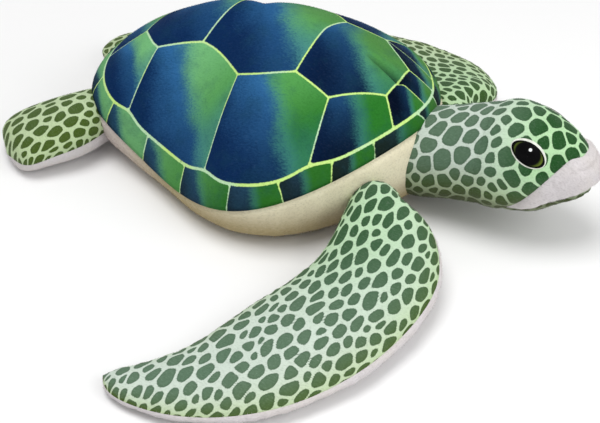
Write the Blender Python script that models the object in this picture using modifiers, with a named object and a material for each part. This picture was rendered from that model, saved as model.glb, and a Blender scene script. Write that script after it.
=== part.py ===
# Stuffed sea turtle: printed shell, cream belly, spotted head, neck and four flippers.
# The nose looks along +X, the turtle's left is +Y and the belly lies on the floor at Z = 0.
# The origin is on the floor under the middle of the shell. All lengths are metres.

import math

import bmesh
import bpy
from mathutils import Matrix, Vector

# Fabric and fits
cover_thickness = 0.0016
seam_gap = 0.0003
pocket_clearance = 0.0022
neck_clearance = 0.0028
seat_clearance = 0.0010
fill_clearance = 0.0010
floor_cut = 0.0005
overrun = 0.05

# Shell and belly
shell_length = 0.310
shell_width = 0.276
shell_rise = 0.0940
rim_height = 0.050
torso_points = 16
rim_width_shares = (0.920, 0.069, -0.003, -0.087)
rim_height_shares = (1.0, 0.25, 0.40, -0.05)
dome_fall_share = 1.37
dome_round_share = 0.80
dome_ring_shares = (0.30, 0.58, 0.80, 0.93)
belly_ring_shares = ((1.0, 0.68), (0.965, 0.36), (0.89, 0.10))
belly_flat_share = 0.70
belly_bulge_share = 0.045
belly_tuck_share = 0.08
rim_crease_share = 0.8
seam_step_angle = math.radians(2.0)
wall_clearance = 0.0015

# Neck
neck_root_radius = 0.0324
neck_end_radius = 0.0385
neck_root_outset = 0.0042
neck_root_height = 0.0425
neck_length = 0.0278
neck_rise = 0.0135
neck_points = 10
neck_swell_share = 1.00
ball_ring_shares = (0.86, 0.50)
neck_bare_share = 0.70

# Head
head_length = 0.0905
head_width = 0.087
head_height = 0.0875
head_rise = 0.012
head_points = 10
head_crease_angle = math.radians(25.0)
head_pole_share = 0.05
# along the head, centre height, half width and half height, from inside the neck to the nose
head_ring_shares = (
    (-0.06, 0.10, 0.30, 0.30),
    (0.13, 0.30, 0.405, 0.395),
    (0.31, 0.72, 0.492, 0.488),
    (0.50, 1.00, 0.488, 0.492),
    (0.69, 1.02, 0.405, 0.410),
    (0.85, 0.92, 0.290, 0.285),
    (0.95, 0.80, 0.180, 0.175),
)
muzzle_top_share = 0.94
muzzle_top_height_share = 0.17
muzzle_foot_share = 0.42
muzzle_foot_height_share = -0.36
chin_height_share = -0.34

# Eyes
eye_length = 0.0262
eye_height = 0.0204
eye_crown = 0.0022
pupil_length = 0.0170
pupil_height = 0.0150
pupil_crown = 0.0031
eye_along_share = 0.46
eye_up_angle = math.radians(38.0)
eye_tilt_angle = math.radians(-24.0)
eye_points = 20
eye_rings = 8

# Front flippers
front_reach = 0.242
front_width = 0.108
front_thickness = 0.034
front_root_radius = 0.0235
front_root_height = 0.0340
front_root_angle = math.radians(34.0)
front_root_outset = 0.0125
front_back_angle = math.radians(49.0)
front_clear_angles = (0.0, math.radians(13.0))
front_points = 8
# forward, outward, half width, half thickness and centre height
front_station_shares = (
    (0.075, 0.080, 0.380, 0.620, 0.90),
    (0.098, 0.225, 0.490, 0.530, 0.62),
    (0.070, 0.405, 0.505, 0.460, 0.455),
    (0.010, 0.570, 0.480, 0.405, 0.395),
    (-0.075, 0.740, 0.400, 0.350, 0.340),
    (-0.190, 0.875, 0.295, 0.290, 0.280),
    (-0.325, 0.960, 0.165, 0.215, 0.205),
)
front_tip_shares = (-0.425, 0.995, 0.165)

# Hind flippers
hind_reach = 0.092
hind_width = 0.072
hind_thickness = 0.030
hind_root_radius = 0.0230
hind_root_height = 0.0250
hind_root_angle = math.radians(157.0)
hind_root_outset = 0.0060
hind_heading = math.radians(139.0)
hind_points = 8
hind_station_shares = (
    (0.00, 0.27, 0.440, 0.560, 0.66),
    (0.00, 0.47, 0.500, 0.500, 0.51),
    (0.01, 0.68, 0.515, 0.440, 0.43),
    (0.02, 0.87, 0.450, 0.350, 0.34),
)
hind_tip_shares = (0.05, 1.00, 0.24)

# Fineness
form_levels = 1
cutter_points = 16
cutter_rings = 10
limb_ball_ring_shares = (0.62,)

LEFT = 1
RIGHT = -1
SIDES = (("left", LEFT), ("right", RIGHT))
UP = Vector((0.0, 0.0, 1.0))
AHEAD = Vector((1.0, 0.0, 0.0))
ACROSS = Vector((0.0, 1.0, 0.0))
NO_SHIFT = Vector((0.0, 0.0, 0.0))


def remove_old_objects():
    for old in list(bpy.data.objects):
        bpy.data.objects.remove(old, do_unlink=True)


def make_collection(name):
    collection = bpy.data.collections.new(name)
    bpy.context.scene.collection.children.link(collection)
    return collection


def make_material(name, colour, roughness):
    material = bpy.data.materials.new(name)
    material.use_nodes = True
    shader = material.node_tree.nodes["Principled BSDF"]
    shader.inputs["Base Color"].default_value = (*colour, 1.0)
    shader.inputs["Roughness"].default_value = roughness
    shader.inputs["Metallic"].default_value = 0.0
    material.diffuse_color = (*colour, 1.0)
    return material


# Cages and forms

def swell(points, order=1):
    """How much a wave along a ring of control points must grow to keep its size once smoothed."""
    if not points:
        return 1.0
    return 1.0 / (2.0 / 3.0 + math.cos(2.0 * math.pi * order / points) / 3.0)


def loft_cage(rings, start, end, panel_of):
    """A closed cage of quads through equal rings, with a pole at each end."""
    cage = bmesh.new()
    loops = [[cage.verts.new(point) for point in ring] for ring in rings]
    count = len(loops[0])
    first = cage.verts.new(start)
    last = cage.verts.new(end)
    for row, (low, high) in enumerate(zip(loops, loops[1:])):
        for column in range(count):
            nxt = (column + 1) % count
            face = cage.faces.new((low[column], low[nxt], high[nxt], high[column]))
            face.material_index = panel_of(row, column)
    for column in range(count):
        nxt = (column + 1) % count
        face = cage.faces.new((first, loops[0][nxt], loops[0][column]))
        face.material_index = panel_of(-1, column)
        face = cage.faces.new((last, loops[-1][column], loops[-1][nxt]))
        face.material_index = panel_of(len(loops) - 1, column)
    bmesh.ops.recalc_face_normals(cage, faces=cage.faces)
    if cage.calc_volume(signed=True) < 0.0:
        bmesh.ops.reverse_faces(cage, faces=cage.faces)
    return cage


def smooth_form(name, cage, levels=form_levels):
    """The cage's smooth surface as a mesh; the cage's own points come first in it."""
    mesh = bpy.data.meshes.new(name)
    cage.to_mesh(mesh)
    cage.free()
    holder = bpy.data.objects.new(name, mesh)
    bpy.context.scene.collection.objects.link(holder)
    modifier = holder.modifiers.new("Smooth", "SUBSURF")
    modifier.levels = levels
    modifier.render_levels = levels
    bpy.context.view_layer.update()
    form = bpy.data.meshes.new_from_object(holder.evaluated_get(bpy.context.evaluated_depsgraph_get()))
    coarse = mesh.copy()
    for point, smooth in zip(coarse.vertices, form.vertices):
        point.co = smooth.co
    bpy.data.objects.remove(holder)
    return form, coarse


def round_root(meshes, centre, radius, outward):
    """Sets the points behind the pivot on a ball about it, and no point lies nearer to it."""
    for mesh in meshes:
        for point in mesh.vertices:
            arm = point.co - centre
            if arm.length < radius or arm.dot(outward) < 0.0:
                point.co = centre + arm.normalized() * radius


def inset_copy(mesh, depth):
    """A copy of a closed mesh with each point moved inward along its normal."""
    inner = bmesh.new()
    inner.from_mesh(mesh)
    inner.normal_update()
    for point, step in [(p, p.normal * depth) for p in inner.verts]:
        point.co -= step
    result = mesh.copy()
    inner.to_mesh(result)
    inner.free()
    return result


def cover_panel(form, panels=None, planes=(), shift=NO_SHIFT):
    """A fabric panel with its thickness: some cage panels of a form, or the side that planes leave.

    The thickness follows the whole form's normals, so that panels sewn edge to edge stay clear.
    """
    part = bmesh.new()
    part.from_mesh(form)
    for place, normal in planes:
        bmesh.ops.bisect_plane(part, geom=part.verts[:] + part.edges[:] + part.faces[:], plane_co=place,
                               plane_no=normal, dist=seam_gap / 10.0)
    part.normal_update()
    inward = part.verts.layers.float_vector.new("inward")
    for point in part.verts:
        point[inward] = point.normal * -cover_thickness
    if panels is None:
        others = [face for face in part.faces
                  if any((face.calc_center_median() - place).dot(normal) < 0.0 for place, normal in planes)]
    else:
        others = [face for face in part.faces if face.material_index not in panels]
    bmesh.ops.delete(part, geom=others, context="FACES")
    lining = bmesh.ops.extrude_face_region(part, geom=part.faces[:], use_keep_orig=True)["geom"]
    for point in lining:
        if isinstance(point, bmesh.types.BMVert):
            point.co += point[inward]
    bmesh.ops.recalc_face_normals(part, faces=part.faces)
    for point in part.verts:
        point.co += shift
    for face in part.faces:
        face.material_index = 0
    part.verts.layers.float_vector.remove(inward)
    result = form.copy()
    part.to_mesh(result)
    part.free()
    return result


# Objects

def add_piece(name, mesh, material, collection, parent=None):
    """Puts a mesh drawn in the turtle's frame under its joint, with its origin on the joint."""
    piece = bpy.data.objects.new(name, mesh)
    mesh.name = name
    mesh.materials.clear()
    mesh.materials.append(material)
    collection.objects.link(piece)
    if parent is not None:
        mesh.transform(Matrix.Translation(-parent.location))
        piece.parent = parent
    mesh.shade_smooth()
    return piece


def add_joint(name, place, collection):
    joint = bpy.data.objects.new(name, None)
    joint.empty_display_size = front_root_radius
    joint.location = place
    collection.objects.link(joint)
    return joint


def cut(piece, cutter):
    hole = piece.modifiers.new("Cut", "BOOLEAN")
    hole.operation = "DIFFERENCE"
    hole.object = cutter


def add_cutter(name, mesh, collection):
    cutter = bpy.data.objects.new(name, mesh)
    cutter.hide_render = True
    cutter.display_type = "WIRE"
    collection.objects.link(cutter)
    return cutter


def ball_cutter(name, centre, radius, collection, depth=0.0, outward=ACROSS):
    """A ball about a pivot; a depth, if given, draws it in along the way that leads out of the pocket."""
    ball = bmesh.new()
    bmesh.ops.create_uvsphere(ball, u_segments=cutter_points, v_segments=cutter_rings, radius=radius)
    if depth:
        bmesh.ops.scale(ball, vec=Vector((1.0, depth / radius, 1.0)), verts=ball.verts)
    turn = ACROSS.rotation_difference(outward).to_matrix()
    bmesh.ops.rotate(ball, matrix=turn, verts=ball.verts)
    mesh = bpy.data.meshes.new(name)
    ball.to_mesh(mesh)
    ball.free()
    cutter = add_cutter(name, mesh, collection)
    cutter.location = centre
    return cutter


def pocket_cutter(name, centre, radius, clearance, collection, outward):
    """Room for a ball-shaped root: close behind it, wider round its sides."""
    return ball_cutter(name, centre, radius + clearance, collection, radius + seat_clearance, outward)


def wall_turned(name, mesh, pivot, angle, collection):
    """The torso as a flipper meets it when the flipper has swung forward by an angle."""
    turned = mesh.copy()
    about = Matrix.Translation(pivot) @ Matrix.Rotation(angle, 4, "Z") @ Matrix.Translation(-pivot)
    turned.transform(about)
    return add_cutter(name, turned, collection)


def floor_cutter(collection):
    block = bmesh.new()
    bmesh.ops.create_cube(block, size=1.0)
    size = Vector((shell_length + front_reach + head_length, shell_width + front_reach, overrun)) * 2.0
    bmesh.ops.scale(block, vec=size, verts=block.verts)
    bmesh.ops.translate(block, vec=(0.0, 0.0, -size.z / 2.0), verts=block.verts)
    mesh = bpy.data.meshes.new("floor_cutter")
    block.to_mesh(mesh)
    block.free()
    return add_cutter("floor_cutter", mesh, collection)


def settle(piece):
    """Turns a piece's modifiers into its mesh, so that it can be turned about its joint."""
    bpy.context.view_layer.update()
    final = bpy.data.meshes.new_from_object(piece.evaluated_get(bpy.context.evaluated_depsgraph_get()))
    final.name = piece.name
    old = piece.data
    piece.modifiers.clear()
    piece.data = final
    bpy.data.meshes.remove(old)


# Torso

def waves(shares, angle, wave, points):
    """A sum of waves round the rim; each is raised by what smoothing a ring of points takes from it."""
    return sum(share * wave(order * angle) * swell(points, order) for order, share in enumerate(shares, start=1))


def rim_point(angle, points=0):
    """The seam between the shell and the belly, seen from above counter-clockwise from the nose."""
    first, *rest = rim_height_shares
    return Vector((shell_length / 2.0 * math.cos(angle) * swell(points),
                   shell_width / 2.0 * waves(rim_width_shares, angle, math.sin, points),
                   rim_height * (first + waves(rest, angle, math.cos, points))))


def dome_point(share, angle, points=0):
    rim = rim_point(angle, points)
    crown = shell_rise * (1.0 - share ** dome_fall_share) ** dome_round_share
    return Vector((rim.x * share, rim.y * share, rim_height + share * (rim.z - rim_height) + crown))


def belly_point(plan_share, height_share, angle, points=0):
    """A point on the belly, whose flanks swell past the rim and whose rear tucks in lower down."""
    rim = rim_point(angle, points)
    rear = (1.0 - math.cos(angle)) / 2.0
    flank = math.sqrt(abs(math.sin(angle))) * min(1.0, 1.0 + math.cos(angle))
    swollen = plan_share * (1.0 + belly_bulge_share * flank * math.sin(math.pi * height_share)
                            - belly_tuck_share * rear * (1.0 - height_share))
    return Vector((rim.x * swollen, rim.y * swollen, rim.z * height_share))


def side_point(angle, height):
    """A point on the belly's wall at a height, found between the wall's rings."""
    rim = rim_point(angle)
    share = min(1.0, height / rim.z)
    rows = ((1.0, 1.0),) + belly_ring_shares + ((belly_flat_share, 0.0),)
    for (plan, top), (lower_plan, low) in zip(rows, rows[1:]):
        if share >= low:
            mix = (share - low) / (top - low)
            return belly_point(lower_plan + (plan - lower_plan) * mix, share, angle)
    return belly_point(belly_flat_share, 0.0, angle)


def side_normal(angle, side=LEFT):
    along = rim_point(angle + seam_step_angle) - rim_point(angle - seam_step_angle)
    return Vector((along.y, -along.x * side, 0.0)).normalized()


def torso_form():
    angles = [2.0 * math.pi * index / torso_points for index in range(torso_points)]
    rings = [[dome_point(share, angle, torso_points) for angle in angles] for share in dome_ring_shares]
    rings.append([rim_point(angle, torso_points) for angle in angles])
    for plan, high in belly_ring_shares:
        rings.append([belly_point(plan, high, angle, torso_points) for angle in angles])
    foot = [belly_point(belly_flat_share, 0.0, angle, torso_points) for angle in angles]
    rings.append([Vector((point.x, point.y, -floor_cut)) for point in foot])
    rim_row = len(dome_ring_shares)
    cage = loft_cage(rings, dome_point(0.0, 0.0), Vector((0.0, 0.0, -floor_cut)),
                     lambda row, column: 0 if row < rim_row else 1)
    crease = cage.edges.layers.float.new("crease_edge")
    for edge in cage.edges:
        if len({face.material_index for face in edge.link_faces}) == 2:
            edge[crease] = rim_crease_share
    return smooth_form("torso_form", cage)


# Limbs

def limb_rings(stations, tip, reach, width, thickness, root_radius, points):
    """Rings in a limb's own frame: X forward, Y outward, Z up from the pivot's foot on the floor."""
    grow = swell(points)
    rows = [(forward * reach, outward * reach, half * width, thick * thickness, high * thickness)
            for forward, outward, half, thick, high in stations]
    centres = [Vector((0.0, 0.0))] + [Vector(row[:2]) for row in rows] + [Vector(tip[:2]) * reach]
    rings = []
    for back in limb_ball_ring_shares + (0.0,):
        ring_radius = root_radius * math.sqrt(1.0 - back * back)
        rings.append((Vector((0.0, -back * root_radius)), Vector((0.0, 1.0)), ring_radius, ring_radius, None))
    for index, row in enumerate(rows, start=1):
        heading = (centres[index + 1] - centres[index - 1]).normalized()
        rings.append((centres[index], heading, row[2], row[3], row[4]))
    loops = []
    for centre, heading, half, thick, high in rings:
        across = Vector((heading.y, -heading.x))
        loop = []
        for index in range(points):
            angle = 2.0 * math.pi * index / points
            side = across * (half * math.cos(angle) * grow)
            loop.append(Vector((centre.x + side.x, centre.y + side.y, thick * math.sin(angle) * grow)))
        loops.append((loop, high))
    return loops


def limb_form(name, stations, tip, reach, width, thickness, root_radius, root_height, points, place):
    """A limb's smooth form, put in the turtle's frame by a function of its own coordinates."""
    loops = limb_rings(stations, tip, reach, width, thickness, root_radius, points)
    rings = []
    for loop, high in loops:
        level = root_height if high is None else high
        rings.append([place(Vector((point.x, point.y, max(point.z + level, -floor_cut)))) for point in loop])
    back = place(Vector((0.0, -root_radius, root_height)))
    tip_point = place(Vector((tip[0] * reach, tip[1] * reach, tip[2] * thickness)))
    half = points // 2
    cage = loft_cage(rings, back, tip_point, lambda row, column: 0 if column < half else 1)
    return smooth_form(name, cage)


def front_root(side):
    wall = side_point(front_root_angle, front_root_height)
    place = wall + side_normal(front_root_angle) * front_root_outset
    return Vector((place.x, place.y * side, front_root_height))


def hind_root(side):
    wall = side_point(hind_root_angle, hind_root_height)
    place = wall + side_normal(hind_root_angle) * hind_root_outset
    return Vector((place.x, place.y * side, hind_root_height))


def limb_placer(root, turn, side):
    """From a limb's own frame (forward, outward, up) to the turtle's, turned about the pivot."""
    def place(point):
        forward = point.x * math.cos(turn) - point.y * math.sin(turn)
        outward = point.x * math.sin(turn) + point.y * math.cos(turn)
        return Vector((root.x + forward, root.y + side * outward, point.z))
    return place


def add_limb(name, form, coarse, materials, collection, joint):
    """A limb's printed top, its pale underside and its filling, all under one joint."""
    half_gap = seam_gap / 2.0
    top = add_piece(name + "_top", cover_panel(form, panels=(0,), shift=UP * half_gap), materials["print"],
                    collection, joint)
    under = add_piece(name + "_under", cover_panel(form, panels=(1,), shift=-UP * half_gap),
                      materials["pale"], collection, joint)
    filling = add_piece(name + "_stuffing", inset_copy(coarse, cover_thickness + fill_clearance),
                        materials["fill"], collection, joint)
    return top, under, filling


# Neck and head

def neck_root():
    return Vector((shell_length / 2.0 + neck_root_outset, 0.0, neck_root_height))


def neck_end():
    return neck_root() + Vector((neck_length, 0.0, neck_rise))


def oval_ring(centre, half_width, half_height, points):
    grow = swell(points)
    return [centre + Vector((0.0, half_width * math.cos(angle), half_height * math.sin(angle))) * grow
            for angle in (2.0 * math.pi * index / points for index in range(points))]


def neck_form():
    root, end = neck_root(), neck_end()
    rings = []
    for back in ball_ring_shares + (0.0,):
        radius = neck_root_radius * math.sqrt(1.0 - back * back)
        place = root - Vector((back * neck_root_radius, 0.0, 0.0))
        rings.append(oval_ring(place, radius, radius, neck_points))
    middle = (root + end) / 2.0
    swollen = (neck_root_radius + neck_end_radius) / 2.0 * neck_swell_share
    rings.append(oval_ring(middle, swollen, swollen, neck_points))
    for ahead in (0.0,) + ball_ring_shares[::-1]:
        radius = neck_end_radius * math.sqrt(1.0 - ahead * ahead)
        place = end + Vector((ahead * neck_end_radius, 0.0, 0.0))
        rings.append(oval_ring(place, radius, radius, neck_points))
    closed_rows = (-1, 0, len(rings) - 2, len(rings) - 1)
    back_pole = root - Vector((neck_root_radius, 0.0, 0.0))
    front_pole = end + Vector((neck_end_radius, 0.0, 0.0))
    cage = loft_cage(rings, back_pole, front_pole, lambda row, column: 1 if row in closed_rows else 0)
    form, coarse = smooth_form("neck_form", cage)
    round_neck(form, 0.0)
    round_neck(coarse, 0.0)
    return form, coarse


def round_neck(mesh, start_share):
    """Sets the points past a share of each end's radius on the ball about that end's pivot."""
    for point in mesh.vertices:
        for centre, radius, way in ((neck_root(), neck_root_radius, -1.0), (neck_end(), neck_end_radius, 1.0)):
            arm = point.co - centre
            if arm.x * way > radius * start_share:
                point.co = centre + arm.normalized() * radius


def head_start():
    """The middle of the crease where the head meets the neck."""
    return neck_end() + Vector((neck_end_radius * math.sin(head_crease_angle), 0.0, 0.0))


def head_place(along, height):
    start = head_start()
    return Vector((start.x + along * head_length, 0.0, start.z + height * head_rise))


def head_form():
    rings = [oval_ring(head_place(along, height), half * head_width, tall * head_height, head_points)
             for along, height, half, tall in head_ring_shares]
    first, last = head_ring_shares[0], head_ring_shares[-1]
    start = head_place(first[0] - head_pole_share, first[1])
    nose = head_place(1.0, last[1] - head_pole_share)
    cage = loft_cage(rings, start, nose, lambda row, column: 0)
    return smooth_form("head_form", cage)


def head_section(along):
    """Centre, half width and half height of the head at a share of its length."""
    for low, high in zip(head_ring_shares, head_ring_shares[1:]):
        if along <= high[0]:
            mix = (along - low[0]) / (high[0] - low[0])
            height, half, tall = (a + (b - a) * mix for a, b in zip(low[1:], high[1:]))
            return head_place(along, height), half * head_width, tall * head_height
    raise ValueError("no such place on the head")


def eye_frame(side):
    """A matrix at the eye on the head's side: Z out of the skin, X along the eye."""
    centre, half, tall = head_section(eye_along_share)
    out = Vector((0.0, side * half * math.cos(eye_up_angle), tall * math.sin(eye_up_angle)))
    normal = Vector((0.0, out.y / half ** 2, out.z / tall ** 2)).normalized()
    forward = Vector((1.0, 0.0, 0.0))
    upward = normal.cross(forward) * side
    forward = (forward * math.cos(eye_tilt_angle) + upward * math.sin(eye_tilt_angle)).normalized()
    across = normal.cross(forward)
    turn = Matrix((forward, across, normal)).transposed().to_4x4()
    return Matrix.Translation(centre + out) @ turn


def lens_mesh(name, length, height, crown, grow=0.0):
    lens = bmesh.new()
    bmesh.ops.create_uvsphere(lens, u_segments=eye_points, v_segments=eye_rings, radius=1.0)
    size = Vector((length / 2.0 + grow, height / 2.0 + grow, crown + grow))
    bmesh.ops.scale(lens, vec=size, verts=lens.verts)
    mesh = bpy.data.meshes.new(name)
    lens.to_mesh(mesh)
    lens.free()
    return mesh


def build():
    remove_old_objects()
    parts = make_collection("stuffed_turtle")
    cutters = make_collection("cutters")
    shell_print = make_material("shell_print", (0.05, 0.16, 0.22), 0.85)
    green_print = make_material("green_spots", (0.28, 0.40, 0.24), 0.90)
    cream = make_material("cream_plush", (0.80, 0.74, 0.58), 0.95)
    white = make_material("white_plush", (0.86, 0.83, 0.82), 0.95)
    fill = make_material("polyester_filling", (0.92, 0.92, 0.92), 1.0)
    thread_white = make_material("eye_white_thread", (0.93, 0.93, 0.90), 0.6)
    thread_dark = make_material("eye_dark_thread", (0.03, 0.03, 0.02), 0.4)
    limb_materials = {"print": green_print, "pale": white, "fill": fill}
    floor = floor_cutter(cutters)

    # Where the limbs and the neck enter the torso
    pockets = [pocket_cutter("neck_pocket", neck_root(), neck_root_radius, neck_clearance, cutters, AHEAD)]
    for word, side in SIDES:
        out = side_normal(front_root_angle, side)
        pockets.append(pocket_cutter(word + "_front_pocket", front_root(side), front_root_radius,
                                     pocket_clearance, cutters, out))
        out = side_normal(hind_root_angle, side)
        pockets.append(pocket_cutter(word + "_hind_pocket", hind_root(side), hind_root_radius,
                                     pocket_clearance, cutters, out))

    # Torso
    half_gap = seam_gap / 2.0
    form, coarse = torso_form()
    shell = add_piece("shell_cover", cover_panel(form, panels=(0,), shift=UP * half_gap), shell_print, parts)
    belly = add_piece("belly_cover", cover_panel(form, panels=(1,), shift=-UP * half_gap), cream, parts)
    stuffing = add_piece("body_stuffing", inset_copy(coarse, cover_thickness + fill_clearance), fill, parts)
    cut(belly, floor)
    for pocket in pockets:
        cut(belly, pocket)
        cut(stuffing, pocket)
    wall = add_cutter("torso_wall", inset_copy(form, -wall_clearance), cutters)
    for word, side in SIDES:
        cut(wall, ball_cutter(word + "_front_room", front_root(side), front_root_radius + seam_gap, cutters))
    settle(wall)

    # Neck
    neck_joint = add_joint("neck_joint", neck_root(), parts)
    form, coarse = neck_form()
    neck = add_piece("neck_cover", cover_panel(form, panels=(0,)), green_print, parts, neck_joint)
    neck_fill = inset_copy(coarse, cover_thickness + fill_clearance)
    round_neck(neck_fill, neck_bare_share)
    add_piece("neck_stuffing", neck_fill, fill, parts, neck_joint)

    # Head
    head_joint = add_joint("head_joint", neck_end(), parts)
    neck_ball = pocket_cutter("neck_ball", neck_end(), neck_end_radius, pocket_clearance, cutters, AHEAD)
    form, coarse = head_form()
    muzzle_top = head_place(muzzle_top_share, 1.0) + UP * (head_height * muzzle_top_height_share)
    muzzle_foot = head_place(muzzle_foot_share, 1.0) + UP * (head_height * muzzle_foot_height_share)
    slope = muzzle_top - muzzle_foot
    ahead = Vector((slope.z, 0.0, -slope.x)).normalized()
    chin_place = head_place(1.0, 1.0) + UP * (head_height * chin_height_share)
    skins = []
    for word, side in SIDES:
        planes = ((NO_SHIFT, ACROSS * side), (muzzle_foot, -ahead))
        panel = cover_panel(form, planes=planes, shift=(ACROSS * side - ahead) * half_gap)
        skins.append(add_piece("head_" + word + "_cover", panel, green_print, parts, head_joint))
    for name, way, material in (("muzzle_cover", UP, white), ("chin_cover", -UP, green_print)):
        planes = ((muzzle_foot, ahead), (chin_place, way))
        panel = cover_panel(form, planes=planes, shift=(way + ahead) * half_gap)
        skins.append(add_piece(name, panel, material, parts, head_joint))
    for skin in skins:
        cut(skin, neck_ball)
    head_fill = add_piece("head_stuffing", inset_copy(coarse, cover_thickness + fill_clearance), fill, parts,
                          head_joint)
    cut(head_fill, neck_ball)

    # Eyes
    head_wall = add_cutter("head_wall", inset_copy(form, -seam_gap), cutters)
    for word, side in SIDES:
        frame = eye_frame(side)
        patch_mesh = lens_mesh(word + "_eye_patch", eye_length, eye_height, eye_crown)
        patch_mesh.transform(frame)
        pupil_mesh = lens_mesh(word + "_pupil", pupil_length, pupil_height, pupil_crown)
        pupil_mesh.transform(frame)
        room_mesh = lens_mesh(word + "_pupil_room", eye_length, eye_height, eye_crown, grow=seam_gap)
        room_mesh.transform(frame)
        patch = add_piece(word + "_eye_patch", patch_mesh, thread_white, parts, head_joint)
        pupil = add_piece(word + "_pupil", pupil_mesh, thread_dark, parts, head_joint)
        room = add_cutter(word + "_pupil_room", room_mesh, cutters)
        cut(patch, head_wall)
        cut(pupil, head_wall)
        cut(pupil, room)

    # Front flippers, made as they lie swept back and cleared of the torso there
    for word, side in SIDES:
        root = front_root(side)
        joint = add_joint(word + "_front_joint", root, parts)
        form, coarse = limb_form(word + "_front_form", front_station_shares, front_tip_shares, front_reach,
                                 front_width, front_thickness, front_root_radius, front_root_height, front_points,
                                 limb_placer(root, front_back_angle, side))
        outward = Vector((-math.sin(front_back_angle), side * math.cos(front_back_angle), 0.0))
        round_root((form, coarse), root, front_root_radius, outward)
        walls = [wall_turned(word + "_torso_wall", wall.data, root, side * angle, cutters)
                 for angle in front_clear_angles]
        for piece in add_limb(word + "_front_flipper", form, coarse, limb_materials, parts, joint):
            for turned in walls:
                cut(piece, turned)
            cut(piece, floor)
            settle(piece)
        if side == RIGHT:
            joint.rotation_euler.z = front_back_angle

    # Hind flippers
    for word, side in SIDES:
        root = hind_root(side)
        joint = add_joint(word + "_hind_joint", root, parts)
        turn = hind_heading - math.pi / 2.0
        form, coarse = limb_form(word + "_hind_form", hind_station_shares, hind_tip_shares, hind_reach,
                                 hind_width, hind_thickness, hind_root_radius, hind_root_height, hind_points,
                                 limb_placer(root, turn, side))
        outward = Vector((math.cos(hind_heading), side * math.sin(hind_heading), 0.0))
        round_root((form, coarse), root, hind_root_radius, outward)
        for piece in add_limb(word + "_hind_flipper", form, coarse, limb_materials, parts, joint):
            cut(piece, floor)


build()
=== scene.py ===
"""Stuffed sea turtle: printed shell, spotted flippers and head, cream belly, embroidered eyes."""

import math

import bmesh
import bpy
import numpy as np
from bpy.props import FloatProperty, FloatVectorProperty, IntProperty, PointerProperty
from mathutils import Matrix, Vector, geometry, kdtree, noise
from mathutils.bvhtree import BVHTree


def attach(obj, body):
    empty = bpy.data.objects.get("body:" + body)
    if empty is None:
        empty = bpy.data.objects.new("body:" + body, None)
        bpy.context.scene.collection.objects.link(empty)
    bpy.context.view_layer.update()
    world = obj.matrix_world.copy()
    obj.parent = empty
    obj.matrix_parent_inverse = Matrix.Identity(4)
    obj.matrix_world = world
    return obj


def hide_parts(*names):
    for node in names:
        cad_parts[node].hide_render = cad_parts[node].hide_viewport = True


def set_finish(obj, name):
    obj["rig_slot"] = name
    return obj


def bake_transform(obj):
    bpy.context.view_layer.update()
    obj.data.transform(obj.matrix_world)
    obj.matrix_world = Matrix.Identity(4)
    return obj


bl_info = {
    "name": "Stuffed Sea Turtle",
    "version": (1, 0, 0),
    "blender": (4, 5, 0),
    "location": "3D View > Sidebar > Turtle",
    "description": "Dresses the turtle's frame in sewn plush panels, pile, seams and embroidered eyes",
    "category": "Object",
}

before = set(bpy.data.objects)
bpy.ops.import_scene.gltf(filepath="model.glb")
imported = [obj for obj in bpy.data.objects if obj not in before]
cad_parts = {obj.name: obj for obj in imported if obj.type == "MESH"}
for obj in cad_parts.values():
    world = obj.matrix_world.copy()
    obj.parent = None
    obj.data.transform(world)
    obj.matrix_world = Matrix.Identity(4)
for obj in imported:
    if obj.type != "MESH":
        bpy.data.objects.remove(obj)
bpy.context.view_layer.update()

SIDES = (("left", 1), ("right", -1))
UP = Vector((0.0, 0.0, 1.0))

# Torso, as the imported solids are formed
HALF_LENGTH = 0.155
HALF_WIDTH = 0.138
RIM_HEIGHT = 0.050
RIM_WIDTH_WAVES = (0.920, 0.069, -0.003, -0.087)
RIM_HEIGHT_WAVES = (0.25, 0.40, -0.05)
FLANK_DROP = 0.0040
DOME_RISE = 0.0940
DOME_FALL = 1.37
DOME_ROUND = 0.80
RIM_POINTS = 336
RING_POINTS = 220
# Belly: shares of the rim's plan and height, from the seam down to the floor and in to the middle
BELLY_ROWS = ((1.006, 0.68), (0.974, 0.36), (0.904, 0.10), (0.718, -0.01), (0.35, -0.01), (0.0, -0.01),
              (-0.35, -0.01))
BELLY_BULGE = -0.032
BELLY_TUCK = 0.011
BELLY_COLLAR = 0.055
# The shell's edge lies over the belly's, so the seam draws the belly in further
SHELL_SEAM_SHARE = 0.45
BELLY_SEAM_SHARE = 1.7

# The printed plates: places on the shell as shares of its half length and half width
PLATE_CORNERS = {
    "front near": (0.786, -0.223), "front far": (0.792, 0.188), "front notch": (0.803, -0.042),
    "a near": (0.553, -0.409), "a far": (0.560, 0.416),
    "ab near": (0.350, -0.347), "ab far": (0.380, 0.270),
    "b near": (0.047, -0.438), "b far": (0.110, 0.440),
    "bc near": (-0.251, -0.316), "bc far": (-0.060, 0.330),
    "c near": (-0.512, -0.315), "c step": (-0.560, -0.267), "c far": (-0.440, 0.340),
    "rear near": (-0.687, -0.108), "rear far": (-0.680, 0.150),
}
# Where a plate line runs out to the ring line, in degrees from the nose
RING_JOINS = {
    "middle": -1.6, "front far end": 12.7, "g near": -22.1, "g far": 24.0, "fg near": -49.5, "fg far": 49.5,
    "ef near": -86.8, "ef far": 86.8, "de near": -130.3, "de far": 130.3, "rear near end": -167.4,
    "rear far end": 166.0,
}
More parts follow.
